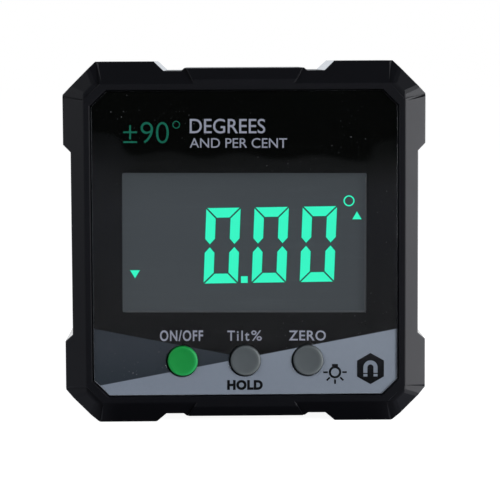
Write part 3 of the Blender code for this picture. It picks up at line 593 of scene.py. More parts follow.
@dataclass(frozen=True)
class SolderMask(Finish):
    """Green lacquer over copper tracks, on glass fibre."""

    colour: Colour = (0.006, 0.1, 0.035)
    cloud: Grain = (0.5, 1.0)
    roughness: Span = (0.3, 0.12)
    relief: Span = (0.5, 0.035)
    weave_colour: Colour = (0.01, 0.13, 0.05)
    weave_share: float = 0.3
    track_colour: Colour = (0.012, 0.19, 0.07)
    pitch: float = 2.4
    track: float = 0.35
    rung_share: float = 0.7
    blur: float = 0.04
    bend: Grain = (22.0, 0.0)
    bend_steps: float = 9.0

    def own(self, base: Base) -> dict[str, Any]:
        """Run tracks up and across the board.

        Args:
            base: what the finish starts from.

        Returns:
            The colour and the normal.
        """
        sheet = base.sheet
        x, _, z = sheet.axes(base.point)
        bends = sheet.noise(base.point, *self.bend) * self.bend_steps
        shift = sheet.maths("ROUND", bends) * (self.pitch / 2)
        lanes, rungs = ((width - sheet.maths("PINGPONG", along + shift, self.pitch / 2)).step(
            -self.blur, self.blur) for along, width in ((x, self.track),
                                                        (z, self.track * self.rung_share)))
        tracks = lanes.largest(rungs)
        return {"Normal": sheet.bump(tracks, *self.relief), "Base Color": sheet.layered(
            base.tone, [(base.cloud * self.weave_share, self.weave_colour),
                        (tracks, self.track_colour)])}


@dataclass(frozen=True)
class CellJacket(Finish):
    """Printed jacket of a cell: dark body, a bright band at each end and bare steel end faces."""

    colour: Colour = (0.02, 0.024, 0.03)
    cloud: Grain = (1.0, 4.0)
    roughness: Span = (0.28, 0.1)
    band: Colour = (0.5, 0.5, 0.48)
    steel: Colour = (0.6, 0.6, 0.58)
    scuff: Colour = (0.2, 0.2, 0.2)
    scuff_share: float = 0.15
    half_length: float = 22.25
    band_start: float = 0.62
    overhang: float = 0.2
    blur: float = 0.05
    metallic: Span = (0.2, 0.8)

    def own(self, base: Base) -> dict[str, Any]:
        """Print the bands and bare the ends.

        Args:
            base: what the finish starts from.

        Returns:
            The colour and how much of it is metal.
        """
        along = base.sheet.axes(base.point)[0].size()
        ring, bare = ((along - start).step(-self.blur, self.blur)
                      for start in (self.band_start * self.half_length,
                                    self.half_length + self.overhang))
        return {"Metallic": bare * self.metallic[1] + self.metallic[0],
                "Base Color": base.sheet.layered(base.tone, [
                    (ring, self.band), (bare, self.steel),
                    (base.cloud * self.scuff_share, self.scuff)])}


HOUSING_PLASTIC = MouldedPlastic("housing_plastic", (0.0026, 0.0027, 0.0035), specular=0.28,
                                 roughness=(0.35, 0.1), grain=(0.32, 1.0), relief=(0.25, 0.03))
RAMP_PLASTIC = MouldedPlastic("polished_ramp_plastic", (0.0034, 0.0035, 0.0045), specular=0.9,
                              roughness=(0.07, 0.1), relief=(0.25, 0.002))
DOOR_PLASTIC = MouldedPlastic("door_plastic", (0.007, 0.0072, 0.0084), grain=(0.22, 1.0))
PALE_EDGE = MouldedPlastic("pane_cut_edge", (0.3, 0.31, 0.33), roughness=(0.3, 0.1),
                           relief=(0.25, 0.005))
DARK_EDGE = MouldedPlastic("window_edge", (0.035, 0.038, 0.04), roughness=(0.45, 0.1),
                           relief=(0.25, 0.005))
NYLON = MouldedPlastic("white_nylon", (0.72, 0.72, 0.7), (0.96, 1.04))
FROSTED = MouldedPlastic("frosted_acrylic", (0.68, 0.74, 0.69), (0.95, 1.05),
                         roughness=(0.3, 0.1))
CERAMIC = MouldedPlastic("fired_ceramic", (0.32, 0.2, 0.11), (0.8, 1.2), grain=(0.1, 1.0))
CHIP_RESIN = MouldedPlastic("chip_resin", (0.014, 0.014, 0.016), roughness=(0.45, 0.1),
                            grain=(0.1, 1.0))
# Each key's rim colour is a painted highlight on the lower right of its cap.
POWER_PLASTIC = KeyPlastic("green_key_plastic", (0.0045, 0.172, 0.03), place=-KEY_PITCH,
                           rim_highlight_colour=(0.018, 0.3, 0.08))
HOLD_PLASTIC = KeyPlastic("hold_key_plastic", (0.054, 0.062, 0.064))
ZERO_PLASTIC = KeyPlastic("zero_key_plastic", (0.054, 0.062, 0.064), place=KEY_PITCH)
WINDOW_PRINT = WindowPrint("window_print_ink")
CLEAR_PANE = ClearPane("clear_acrylic")
GREY_INK = Ink("grey_ink", (0.21, 0.22, 0.26))
DARK_INK = Ink("dark_ink", (0.004, 0.0045, 0.005))
GREEN_INK = Ink("green_ink", (0.008, 0.088, 0.055))
CRYSTAL = LiquidCrystal("liquid_crystal")
LIT_SEGMENT = Glow("lit_segment", (0.035, 0.96, 0.58))
SEGMENT_EDGE = Glow("segment_edge", (0.003, 0.085, 0.045))
STEEL = PlatedMetal("nickel_plate")
DULL_STEEL = PlatedMetal("spring_steel", (0.5, 0.49, 0.47), roughness=(0.28, 0.08))
RUBBER = Rubber("seal_rubber")
LACQUER = SolderMask("board_lacquer")
JACKET = CellJacket("cell_jacket_print")


def ground(x: float, y: float, z: float) -> Vector:
    """A point in metres, from millimetres about the middle of the body."""
    return Vector((x, y, z + MIDDLE_HEIGHT)) * MM


def about_middle(point: Sequence[float]) -> Vector:
    """A point in millimetres about the middle of the body, from metres."""
    return Vector((point[0] / MM, point[1] / MM, point[2] / MM - MIDDLE_HEIGHT))


def linked(name: str, data: bpy.types.ID | None) -> bpy.types.Object:
    """Link a mesh, a curve, a camera or a light to the scene as an object at the origin.

    Args:
        name: the object's name.
        data: what it shows.

    Returns:
        The object.
    """
    made = bpy.data.objects.new(name, data)
    bpy.context.scene.collection.objects.link(made)
    return made


def from_bmesh(name: str, work: bmesh.types.BMesh) -> bpy.types.Object:
    """Turn finished mesh work into an object.

    Args:
        name: the object's name.
        work: the mesh work, freed here.

    Returns:
        The object.
    """
    mesh = bpy.data.meshes.new(name)
    work.to_mesh(mesh)
    work.free()
    return linked(name, mesh)


def work_on(mesh: bpy.types.Mesh) -> bmesh.types.BMesh:
    """Start mesh work on a mesh that is no longer needed.

    Args:
        mesh: the mesh, removed here.

    Returns:
        The mesh work.
    """
    work = bmesh.new()
    work.from_mesh(mesh)
    bpy.data.meshes.remove(mesh)
    return work


def soften(work: bmesh.types.BMesh, edges: Sequence[bmesh.types.BMEdge], width: float,
           segments: int = 2, clamp: bool = False) -> None:
    """Bevel edges.

    Args:
        work: the mesh work.
        edges: the edges.
        width: the bevel's width, in the mesh's own unit.
        segments: how many faces the bevel has across.
        clamp: whether the bevel stops where it would meet another one.
    """
    bmesh.ops.bevel(work, geom=edges, offset=width, segments=segments, profile=0.5,
                    affect="EDGES", clamp_overlap=clamp)


def evaluated_mesh(source: bpy.types.Object) -> bpy.types.Mesh:
    """The mesh that an object has after its modifiers or its curve settings.

    Args:
        source: the object, removed here with its curve if it has one.

    Returns:
        The plain mesh.
    """
    bpy.context.view_layer.update()
    graph = bpy.context.evaluated_depsgraph_get()
    mesh = bpy.data.meshes.new_from_object(source.evaluated_get(graph))
    data = source.data
    bpy.data.objects.remove(source)
    if isinstance(data, bpy.types.Curve):
        bpy.data.curves.remove(data)
    return mesh


def plate(name: str, loops: Sequence[Loop], front: float, back: float,
          chamfer: float = 0.0) -> bpy.types.Object:
    """A flat outline with any holes as a solid between two depths.

    Args:
        name: the object's name.
        loops: outlines in the front view, in millimetres.
        front: the front depth.
        back: the back depth.
        chamfer: width of the broken edges, none when 0.

    Returns:
        The solid.
    """
    curve = bpy.data.curves.new(name, "CURVE")
    curve.dimensions = "2D"
    curve.fill_mode = "BOTH"
    curve.extrude = (back - front) / 2
    for loop in loops:
        spline = curve.splines.new("POLY")
        spline.points.add(len(loop) - 1)
        for point, (x, z) in zip(spline.points, loop):
            point.co = (x, z, 0, 1)
        spline.use_cyclic_u = True
    work = work_on(evaluated_mesh(linked(name, curve)))
    bmesh.ops.remove_doubles(work, verts=work.verts, dist=WELD_DISTANCE / 2)
    bmesh.ops.recalc_face_normals(work, faces=work.faces)
    if chamfer:
        sharp = [edge for edge in work.edges if edge.calc_face_angle(0.0) > CORNER_ANGLE]
        soften(work, sharp, chamfer, clamp=True)
    middle = Matrix.Translation(ground(0, (front + back) / 2, 0))
    upright = middle @ Matrix.Rotation(math.pi / 2, 4, "X")
    bmesh.ops.transform(work, matrix=upright @ Matrix.Scale(MM, 4), verts=work.verts)
    return from_bmesh(name, work)


def box(name: str, low: Sequence[float], high: Sequence[float],
        chamfer: float = 0.0) -> bpy.types.Object:
    """A block between two corners.

    Args:
        name: the object's name.
        low: its lowest corner, in millimetres about the middle of the body.
        high: its highest corner.
        chamfer: width of the broken edges, none when 0.

    Returns:
        The block.
    """
    low_corner = ground(*low)
    high_corner = ground(*high)
    work = bmesh.new()
    bmesh.ops.create_cube(work, size=1.0, matrix=Matrix.LocRotScale(
        (low_corner + high_corner) / 2, None, high_corner - low_corner))
    if chamfer:
        soften(work, work.edges[:], chamfer * MM)
    return from_bmesh(name, work)


def arc(x: float, z: float, radius: float, start: float, end: float,
        sides: int = ARC_SIDES) -> Loop:
    """Points of an arc in the front view.

    Args:
        x: place of its centre.
        z: height of its centre.
        radius: its radius.
        start: the angle of its first point, in degrees.
        end: the angle of its last point.
        sides: how many straight sides it has.

    Returns:
        Its points.
    """
    turns = [math.radians(start + (end - start) * i / sides) for i in range(sides + 1)]
    return [(x + radius * math.cos(turn), z + radius * math.sin(turn)) for turn in turns]


def circle(x: float, z: float, radius: float, sides: int = 64) -> Loop:
    """Points of a circle in the front view."""
    return arc(x, z, radius, 0, 360, sides)[:-1]


def round_rectangle(left: float, right: float, bottom: float, top: float, corner: float) -> Loop:
    """Points of a rectangle with round corners.

    Args:
        left: place of its left side.
        right: place of its right side.
        bottom: height of its lower side.
        top: height of its upper side.
        corner: radius of its corners.

    Returns:
        Its points.
    """
    points = []
    for x, z, start in ((right - corner, top - corner, 0), (left + corner, top - corner, 90),
                        (left + corner, bottom + corner, 180),
                        (right - corner, bottom + corner, 270)):
        points += arc(x, z, corner, start, start + 90, CORNER_SIDES)
    return points


def turned_loop(loop: Loop, degrees: float, about: Point = (0.0, 0.0)) -> Loop:
    """Turn a loop in the front view, anticlockwise.

    Args:
        loop: its points.
        degrees: how far it turns.
        about: the point that stays.

    Returns:
        The turned points.
    """
    turn = math.radians(degrees)
    offsets = [(x - about[0], z - about[1]) for x, z in loop]
    return [(about[0] + x * math.cos(turn) - z * math.sin(turn),
             about[1] + x * math.sin(turn) + z * math.cos(turn)) for x, z in offsets]


def moved_loop(loop: Sequence[Point], x: float, z: float) -> Loop:
    """Move a loop in the front view."""
    return [(x + across, z + up) for across, up in loop]


def cut_square(half: float, cut: float) -> Loop:
    """Points of a square with cut corners.

    Args:
        half: half its side.
        cut: how far from the corner each cut starts.

    Returns:
        Its points.
    """
    quarter = [(half, half - cut), (half - cut, half)]
    upper = quarter + [(-x, z) for x, z in reversed(quarter)]
    return upper + [(-x, -z) for x, z in upper]


def spread(loop: Loop, distance: float) -> Loop:
    """Move every side of a polygon outwards.

    Args:
        loop: its points, in either order.
        distance: how far the sides move, not at all when 0.

    Returns:
        The points of the wider polygon.
    """
    if not distance:
        return loop
    count = len(loop)
    area = sum(loop[i][0] * loop[(i + 1) % count][1] - loop[(i + 1) % count][0] * loop[i][1]
               for i in range(count))
    side = 1.0 if area > 0 else -1.0
    wider = []
    for i in range(count):
        before, here, after = Vector(loop[i - 1]), Vector(loop[i]), Vector(loop[(i + 1) % count])
        first = (here - before).normalized()
        second = (after - here).normalized()
        out_first = Vector((first.y, -first.x)) * side
        out_second = Vector((second.y, -second.x)) * side
        mitre = (out_first + out_second).normalized()
        reach = min(distance / max(mitre.dot(out_first), SHARPEST_MITRE),
                    distance * FARTHEST_MITRE)
        wider.append(tuple(here + mitre * reach))
    return wider


def lathe(name: str, profile: Sequence[Point], centre: Triple) -> bpy.types.Object:
    """A turned piece whose axis runs along the depth.

    Args:
        name: the object's name.
        profile: radius and depth pairs, from the front end of the axis to its back end.
        centre: x and height of the axis and the depth that the profile starts from.

    Returns:
        The piece, smooth shaded apart from sharp edges.
    """
    x, z, depth = centre
    work = bmesh.new()
    rings = []
    for radius, along in profile:
        points = circle(x, z, radius, LATHE_SIDES) if radius else [(x, z)]
        rings.append([work.verts.new(ground(px, depth + along, pz)) for px, pz in points])
    for ring, following in zip(rings, rings[1:]):
        for i in range(LATHE_SIDES):
            j = (i + 1) % LATHE_SIDES
            corners = [ring[i % len(ring)], ring[j % len(ring)], following[j % len(following)],
                       following[i % len(following)]]
            work.faces.new(list(dict.fromkeys(corners)))
    bmesh.ops.recalc_face_normals(work, faces=work.faces)
    piece = from_bmesh(name, work)
    piece.data.shade_smooth()
    piece.data.set_sharp_from_angle(angle=CREASE_ANGLE)
    return piece


def welded_copy(node: str) -> bmesh.types.BMesh:
    """Mesh work on a copy of a CAD node, its loose triangles merged into whole faces.

    Args:
        node: the node's name.

    Returns:
        The mesh work.
    """
    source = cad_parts[node].data
    mesh = bpy.data.meshes.new(node)
    mesh.from_pydata([vertex.co for vertex in source.vertices], [],
                     [list(face.vertices) for face in source.polygons])
    work = work_on(mesh)
    bmesh.ops.remove_doubles(work, verts=work.verts, dist=WELD_DISTANCE * MM)
    bmesh.ops.dissolve_limit(work, angle_limit=FLAT_ANGLE, verts=work.verts, edges=work.edges)
    return work


def joined(name: str, parts: Sequence[bpy.types.Object]) -> bpy.types.Object:
    """Join plain meshes into one object.

    Args:
        name: the object's name.
        parts: the objects that it takes up, removed here.

    Returns:
        The object.
    """
    work = bmesh.new()
    for part in parts:
        work.from_mesh(part.data)
        bpy.data.objects.remove(part)
    return from_bmesh(name, work)


def present(piece: bpy.types.Object, finishes: Sequence[Finish],
            nodes: Sequence[str] = (), body: Body = Body.HOUSING) -> None:
    """Dress a piece and place it in the part.

    Args:
        piece: the finished mesh, at its place.
        finishes: its finishes in slot order.
        nodes: the CAD nodes that it stands for.
        body: the body that it rides on.
    """
    slots = [face.material_index for face in piece.data.polygons]
    piece.data.materials.clear()
    for finish in finishes:
        piece.data.materials.append(finish.material())
    piece.data.polygons.foreach_set("material_index",
                                    slots if len(finishes) > 1 else [0] * len(slots))
    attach(piece, body.value)
    if nodes:
        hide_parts(*nodes)
    LOG.info("piece %s rides on %s with %d faces", piece.name, body.value, len(slots))


def dress_node(node: str, finish: Finish) -> None:
    """Give a CAD node a finish in place of its plain material.

    Args:
        node: the node's name.
        finish: what it is made of.
    """
    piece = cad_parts[node]
    piece.data.materials.clear()
    piece.data.materials.append(finish.material())
    LOG.info("node %s dressed in %s", node, finish.name)


class ShapeTree:
    """A Geometry Nodes tree with named inputs, ending in Realize Instances and Set Material."""

    def __init__(self, name: str, inputs: dict[str, tuple[str, Any]]) -> None:
        """Start a tree.

        Args:
            name: the tree's name.
            inputs: socket type and default value of each named input.
        """
        self.group = bpy.data.node_groups.new(name, "GeometryNodeTree")
        face = self.group.interface
        for direction in ("INPUT", "OUTPUT"):
            face.new_socket("Geometry", in_out=direction, socket_type="NodeSocketGeometry")
        for label, (kind, value) in inputs.items():
            face.new_socket(label, in_out="INPUT", socket_type=kind).default_value = value
        self.sheet = NodeSheet(self.group)
        self.entry = self.sheet.add("NodeGroupInput")
        self.out = self.sheet.add("NodeGroupOutput")

    def given(self, label: str) -> bpy.types.NodeSocket:
        """The output socket of a named input."""
        return self.entry.outputs[label]

    def close(self, geometry: bpy.types.NodeSocket, finish: Finish) -> None:
        """End the tree.

        Args:
            geometry: the geometry with its instances.
            finish: what the result is made of.
        """
        real = self.sheet.add("GeometryNodeRealizeInstances", None, {0: geometry})
        dressed = self.sheet.add("GeometryNodeSetMaterial", None, {
            "Geometry": real.outputs[0], "Material": finish.material()})
        self.sheet.connect(self.out, {0: dressed.outputs[0]})

    def grow(self, host: bpy.types.Object, name: str, values: dict[str, Any]) -> bpy.types.Object:
        """Run the tree on an object and keep the result as a plain mesh.

        Args:
            host: the object whose mesh the tree repeats, removed afterwards.
            name: the result's name.
            values: values of the named inputs.

        Returns:
            The plain mesh object.
        """
        modifier = host.modifiers.new(self.group.name, "NODES")
        modifier.node_group = self.group
        for item in self.group.interface.items_tree:
            if item.item_type == "SOCKET" and item.in_out == "INPUT" and item.name in values:
                modifier[item.identifier] = values[item.name]
        mesh = evaluated_mesh(host)
        mesh.name = name
        return linked(name, mesh)


def row(name: str, host: bpy.types.Object, finish: Finish, count: int,
        step: Triple) -> bpy.types.Object:
    """Repeat a mesh along a straight row.

    Args:
        name: the row's name.
        host: the object whose mesh is repeated, removed here.
        finish: what the row is made of.
        count: how many there are.
        step: from one to the next, in millimetres.

    Returns:
        The row as a plain mesh.
    """
    tree = ShapeTree(f"{name}_tree", {"Count": ("NodeSocketInt", 3),
                                      "Step": ("NodeSocketVector", (MM, 0.0, 0.0))})
    line = tree.sheet.add("GeometryNodeMeshLine", None, {
        "Count": tree.given("Count"), "Offset": tree.given("Step")})
    copies = tree.sheet.add("GeometryNodeInstanceOnPoints", None, {
        "Points": line.outputs[0], "Instance": tree.given("Geometry")})
    tree.close(copies.outputs[0], finish)
    return tree.grow(host, name, {"Count": count, "Step": tuple(side * MM for side in step)})


def scatter_tree(name: str, finish: Finish, stamp: bpy.types.Object) -> ShapeTree:
    """A tree that sets a stamp mesh on every point of its host.

    Args:
        name: the tree's name.
        finish: what the stamps are made of.
        stamp: the object whose mesh is repeated.

    Returns:
        The tree, with input Size.
    """
    tree = ShapeTree(name, {"Size": ("NodeSocketFloat", 1.0)})
    source = tree.sheet.add("GeometryNodeObjectInfo", None, {"Object": stamp})
    marks = tree.sheet.add("GeometryNodeInstanceOnPoints", None, {
        "Points": tree.given("Geometry"), "Instance": source.outputs["Geometry"],
        "Scale": tree.given("Size")})
    tree.close(marks.outputs[0], finish)
    return tree


@dataclass
class Shells:
    """The two moulded shells, their edges softened and the joint between them shut."""

    edge: float = 0.16
    step_edge: float = 0.36
    soft_angle: float = 12.0
    shortest_edge: float = 0.5
    outer_reach: float = 26.5
    lip_depth: float = -15.9
    parting: float = 6.0
    front_margin: float = 0.2
    rear_margin: float = 0.5
    joint_reach: float = 0.35
    joint_width: float = 0.03
    corner_sum: float = 44.0
    step_rise: float = 1.5
    ramp_along: float = 24.0
    ramp_out: float = 29.0
    ramp_lean: float = 0.05
    ramp_slant: float = 0.3

    def build(self) -> None:
        """Make the shells and dress their seal."""
        self.shell("front_shell", "front_housing", self.on_front)
        self.shell("rear_shell", "rear_cover", self.on_rear)
        dress_node("housing_seal", RUBBER)

    def is_outer(self, point: Vector) -> bool:
        """Whether a point, in millimetres, is on the outside of the body."""
        return max(abs(point.x), abs(point.z)) > self.outer_reach

    def on_front(self, point: Vector) -> bool:
        """Whether an edge of the front shell is softened at a point, in millimetres."""
        shows = self.is_outer(point) or point.y < self.lip_depth
        return point.y < self.parting - self.front_margin and shows

    def on_rear(self, point: Vector) -> bool:
        """Whether an edge of the rear shell is softened at a point, in millimetres."""
        return point.y > self.parting + self.rear_margin and self.is_outer(point)

    def shell(self, name: str, node: str, chosen: Callable[[Vector], bool]) -> None:
        """Copy a shell, shut its joint and soften its visible edges.

        Args:
            name: the piece's name.
            node: the CAD node that it stands for.
            chosen: tells from a point in millimetres whether an edge there is softened.
        """
        work = welded_copy(node)
        for vertex in work.verts:
            if self.parting < about_middle(vertex.co).y < self.parting + self.joint_reach:
                vertex.co.y = (self.parting + self.joint_width) * MM
        for width, segments, step in ((self.edge, 2, False), (self.step_edge, 1, True)):
            edges = [edge for edge in work.edges if self.is_softened(edge, chosen, step)]
            soften(work, edges, width * MM, segments)
        for face in work.faces:
            face.material_index = int(self.is_ramp(face))
        present(from_bmesh(name, work), [HOUSING_PLASTIC, RAMP_PLASTIC], [node])

    def is_softened(self, edge: bmesh.types.BMEdge, chosen: Callable[[Vector], bool],
                    step: bool) -> bool:
        """Whether an edge is softened in one of the two passes.

        Args:
            edge: the edge.
            chosen: tells from a point in millimetres whether an edge there is softened.
            step: whether the pass is the one for the steps at the corners.

        Returns:
            Whether it is.
        """
        ends = [about_middle(vertex.co) for vertex in edge.verts]
        return (edge.calc_face_angle(0.0) > math.radians(self.soft_angle)
                and edge.calc_length() > self.shortest_edge * MM
                and all(chosen(end) for end in ends)
                and self.is_step(ends) is step
                and (edge.is_convex or not step))

    def is_step(self, ends: Sequence[Vector]) -> bool:
        """Whether an edge belongs to the step down to a corner's facets.

        Args:
            ends: its two ends, in millimetres.

        Returns:
            Whether it does.
        """
        reaches = [max(abs(end.x), abs(end.z)) for end in ends]
        nearest = min(abs(end.x) + abs(end.z) for end in ends)
        return nearest > self.corner_sum and abs(reaches[0] - reaches[1]) > self.step_rise

    def is_ramp(self, face: bmesh.types.BMFace) -> bool:
        """Whether a face is one of the recesses' outer ramps, where the mould was polished.

        Args:
            face: the face.

        Returns:
            Whether it is.
        """
        middle = about_middle(face.calc_center_median())
        along, out = sorted((abs(middle.x), abs(middle.z)))
        slant = min(abs(face.normal.x), abs(face.normal.z))
        slanted = abs(face.normal.y) < self.ramp_lean and slant > self.ramp_slant
        return slanted and along < self.ramp_along and out > self.ramp_out


@dataclass
class Window:
    """The window: an opaque printed layer, and a clear pane in front of it."""

    half: float = 25.95
    cut: float = 2.6
    pane_front: float = -15.75
    pane_back: float = -15.345
    pane_chamfer: float = 0.1
    side_lean: float = 0.1
    side_margin: float = 0.05
    print_front: float = -15.295
    print_back: float = -15.0
    opening: tuple[float, float, float, float] = (-20.95, 20.76, -11.86, 12.02)
    opening_corner: float = 0.35
    rim_width: float = 0.3
    rim_gap: float = 0.6
    rim_depth: float = 0.1
    key_hole: float = 2.75
    hole_shift: Point = (-0.17, 0.02)
    hole_sides: int = 72

    def build(self) -> None:
        """Make the printed layer, the painted highlight on the opening's edge, and the pane."""
        holes = [circle(x + self.hole_shift[0], KEY_HEIGHT + self.hole_shift[1], self.key_hole,
                        self.hole_sides) for x in (-KEY_PITCH, 0.0, KEY_PITCH)]
        outline = cut_square(self.half, self.cut)
        opening = turned_loop(round_rectangle(*self.opening, self.opening_corner), PRINT_TURN)
        layer = plate("window_print", [outline, opening] + holes, self.print_front,
                      self.print_back)
        present(layer, [WINDOW_PRINT], ["front_lens"])
        self.painted_opening_highlight()
        pane = plate("window_pane", [outline] + holes, self.pane_front, self.pane_back,
                     self.pane_chamfer)
        for face in pane.data.polygons:
            face.material_index = int(self.is_side(face))
        present(pane, [CLEAR_PANE, PALE_EDGE], ["front_lens"])

    def is_side(self, face: bpy.types.MeshPolygon) -> bool:
        """Whether a face of the pane is one of its sawn outer sides.

        Args:
            face: the face.

        Returns:
            Whether it is.
        """
        middle = about_middle(face.center)
        across, up = abs(middle.x), abs(middle.z)
        reach = max(across, up, (across + up + self.cut) / 2)
        return abs(face.normal.y) < self.side_lean and reach > self.half - self.side_margin

    def painted_opening_highlight(self) -> None:
        """Make a grey strip along the right and lower edge of the opening: a painted highlight
        standing in for light on the opening's wall, where its thickness shows.
        """
        left, right, bottom, top = self.opening
        left += self.rim_gap
        top -= self.rim_gap
        wide = self.rim_width
        # Painted highlight: a grey strip only along the right and lower edges, standing in for light
        # on the opening's wall.
        outline = [(left, bottom), (right, bottom), (right, top), (right - wide, top - wide),
                   (right - wide, bottom + wide), (left + wide, bottom + wide)]
        edge = plate("window_opening_edge", [turned_loop(outline, PRINT_TURN)],
                     self.print_back - self.rim_depth, self.print_back)
        present(edge, [DARK_EDGE], ["front_lens"])


@dataclass
class Caption:
    """One printed line: its words, the box that it fills, its ink, its stroke and spacing."""

    name: str
    words: str
    left: float
    right: float
    bottom: float
    top: float
    ink: Finish
    weight: float = 0.0
    spacing: float = 1.0

    def outlines(self) -> bpy.types.Mesh:
        """Make the words' faces, flat in the font's own units.

        Returns:
            The mesh, without the folded slivers that a heavier stroke leaves.
        """
        curve = bpy.data.curves.new(self.name, "FONT")
        curve.body = self.words
        curve.offset = self.weight
        curve.space_character = self.spacing
        curve.resolution_u = FONT_STEPS
        mesh = evaluated_mesh(linked(self.name, curve))
        work = bmesh.new()
        work.from_mesh(mesh)
        slivers = [face for face in work.faces if face.normal.z < SLIVER_TILT]
        bmesh.ops.delete(work, geom=slivers, context="FACES_ONLY")
        work.to_mesh(mesh)
        work.free()
        return mesh


@dataclass
class Lettering:
    """Plain captions and pictograms, printed on the back of the window."""

    depth: float = -15.32
    thickness: float = 0.02
    captions: tuple[Caption, ...] = (
        Caption("caption_range", "±90°", -20.6, -10.95, 17.16, 20.97, GREEN_INK, -0.012),
        Caption("caption_units", "DEGREES", -9.3, 3.5, 18.77, 21.25, GREY_INK, 0.004),
        Caption("caption_share", "AND PER CENT", -9.32, 7.22, 16.3, 17.96, GREY_INK, 0.002),
        Caption("caption_power", "ON/OFF", -14.66, -7.28, -16.72, -14.84, GREY_INK, 0.02, 1.14),
        Caption("caption_tilt", "Tilt", -3.12, 0.64, -16.74, -14.96, GREY_INK, 0.014, 1.25),
        Caption("caption_per_cent", "%", 0.97, 2.78, -16.74, -14.94, GREY_INK, 0.008),
        Caption("caption_zero", "ZERO", 7.4, 13.74, -16.77, -15.01, GREY_INK, 0.014, 1.1),
        Caption("caption_hold", "HOLD", -3.2, 2.9, -25.24, -23.5, DARK_INK, 0.06, 1.1))
    bulb_place: Point = (15.31, -22.27)
    bulb_radii: Point = (1.07, 0.69)
    bulb_base: tuple[Point, ...] = ((-0.5, 1.42), (0.5, 1.42), (0.5, 1.0), (0.3, 0.85),
                                    (-0.3, 0.85), (-0.5, 1.0))
    ray_angles: tuple[int, ...] = (180, 225, 270, 315, 360)
    ray_reach: Span = (1.25, 2.02)
    ray_half: float = 0.15
    magnet_place: Point = (21.4, -21.68)
    magnet_field: tuple[Point, ...] = ((0.0, 2.7), (2.31, 1.38), (2.31, -1.38), (0.0, -2.7),
                                       (-2.31, -1.38), (-2.31, 1.38))
    shoe_rise: float = 0.2
    shoe_radii: Point = (1.22, 0.52)
    shoe_foot: float = -0.95
    shoe_sides: int = 24
    tip_span: Span = (-1.57, -1.13)

    def build(self) -> None:
        """Print every caption and pictogram."""
        for caption in self.captions:
            self.print_line(caption)
        self.bulb()
        self.magnet()

    def print_line(self, caption: Caption) -> None:
        """Set one caption in its box.

        Args:
            caption: what is printed, and where.
        """
        mesh = caption.outlines()
        xs = [vertex.co.x for vertex in mesh.vertices]
        ys = [vertex.co.y for vertex in mesh.vertices]
        wide = (caption.right - caption.left) / (max(xs) - min(xs))
        tall = (caption.top - caption.bottom) / (max(ys) - min(ys))
        loop = [(caption.left + (x - min(xs)) * wide, caption.bottom + (y - min(ys)) * tall)
                for x, y in zip(xs, ys)]
        centre = ((caption.left + caption.right) / 2, (caption.bottom + caption.top) / 2)
        for vertex, (x, z) in zip(mesh.vertices, turned_loop(loop, PRINT_TURN, centre)):
            vertex.co = ground(x, self.depth, z)
        present(linked(caption.name, mesh), [caption.ink])

    def mark(self, name: str, loops: Sequence[Loop]) -> bpy.types.Object:
        """A thin printed shape."""
        half = self.thickness / 2
        return plate(name, loops, self.depth - half, self.depth + half)

    def bulb(self) -> None:
        """Print the backlight's pictogram: a ring, its base above it, and rays set round it."""
        x, z = self.bulb_place
        parts = [self.mark("bulb_ring", [circle(x, z, radius) for radius in self.bulb_radii]),
                 self.mark("bulb_base", [moved_loop(self.bulb_base, x, z)])]
        near, far = self.ray_reach
        ray = [(near, -self.ray_half), (far, -self.ray_half), (far, self.ray_half),
               (near, self.ray_half)]
        for degrees in self.ray_angles:
            parts.append(self.mark("bulb_ray", [moved_loop(turned_loop(ray, degrees), x, z)]))
        present(joined("pictogram_bulb", parts), [DARK_INK])

    def magnet(self) -> None:
        """Print the magnets' pictogram: a horseshoe left open in a six-sided field."""
        x, z = self.magnet_place
        outer, inner = self.shoe_radii
        foot = self.shoe_foot
        shoe = [*arc(0.0, 0.0, outer, 0, 180, self.shoe_sides), (-outer, foot), (-inner, foot),
                *arc(0.0, 0.0, inner, 180, 0), (inner, foot), (outer, foot)]
        low, high = self.tip_span
        tips = [[(side * inner, low), (side * outer, low), (side * outer, high),
                 (side * inner, high)] for side in (-1, 1)]
        open_loops = [moved_loop(loop, x, z + self.shoe_rise) for loop in (shoe, *tips)]
        present(self.mark("pictogram_magnet", [moved_loop(self.magnet_field, x, z)] + open_loops),
                [DARK_INK])


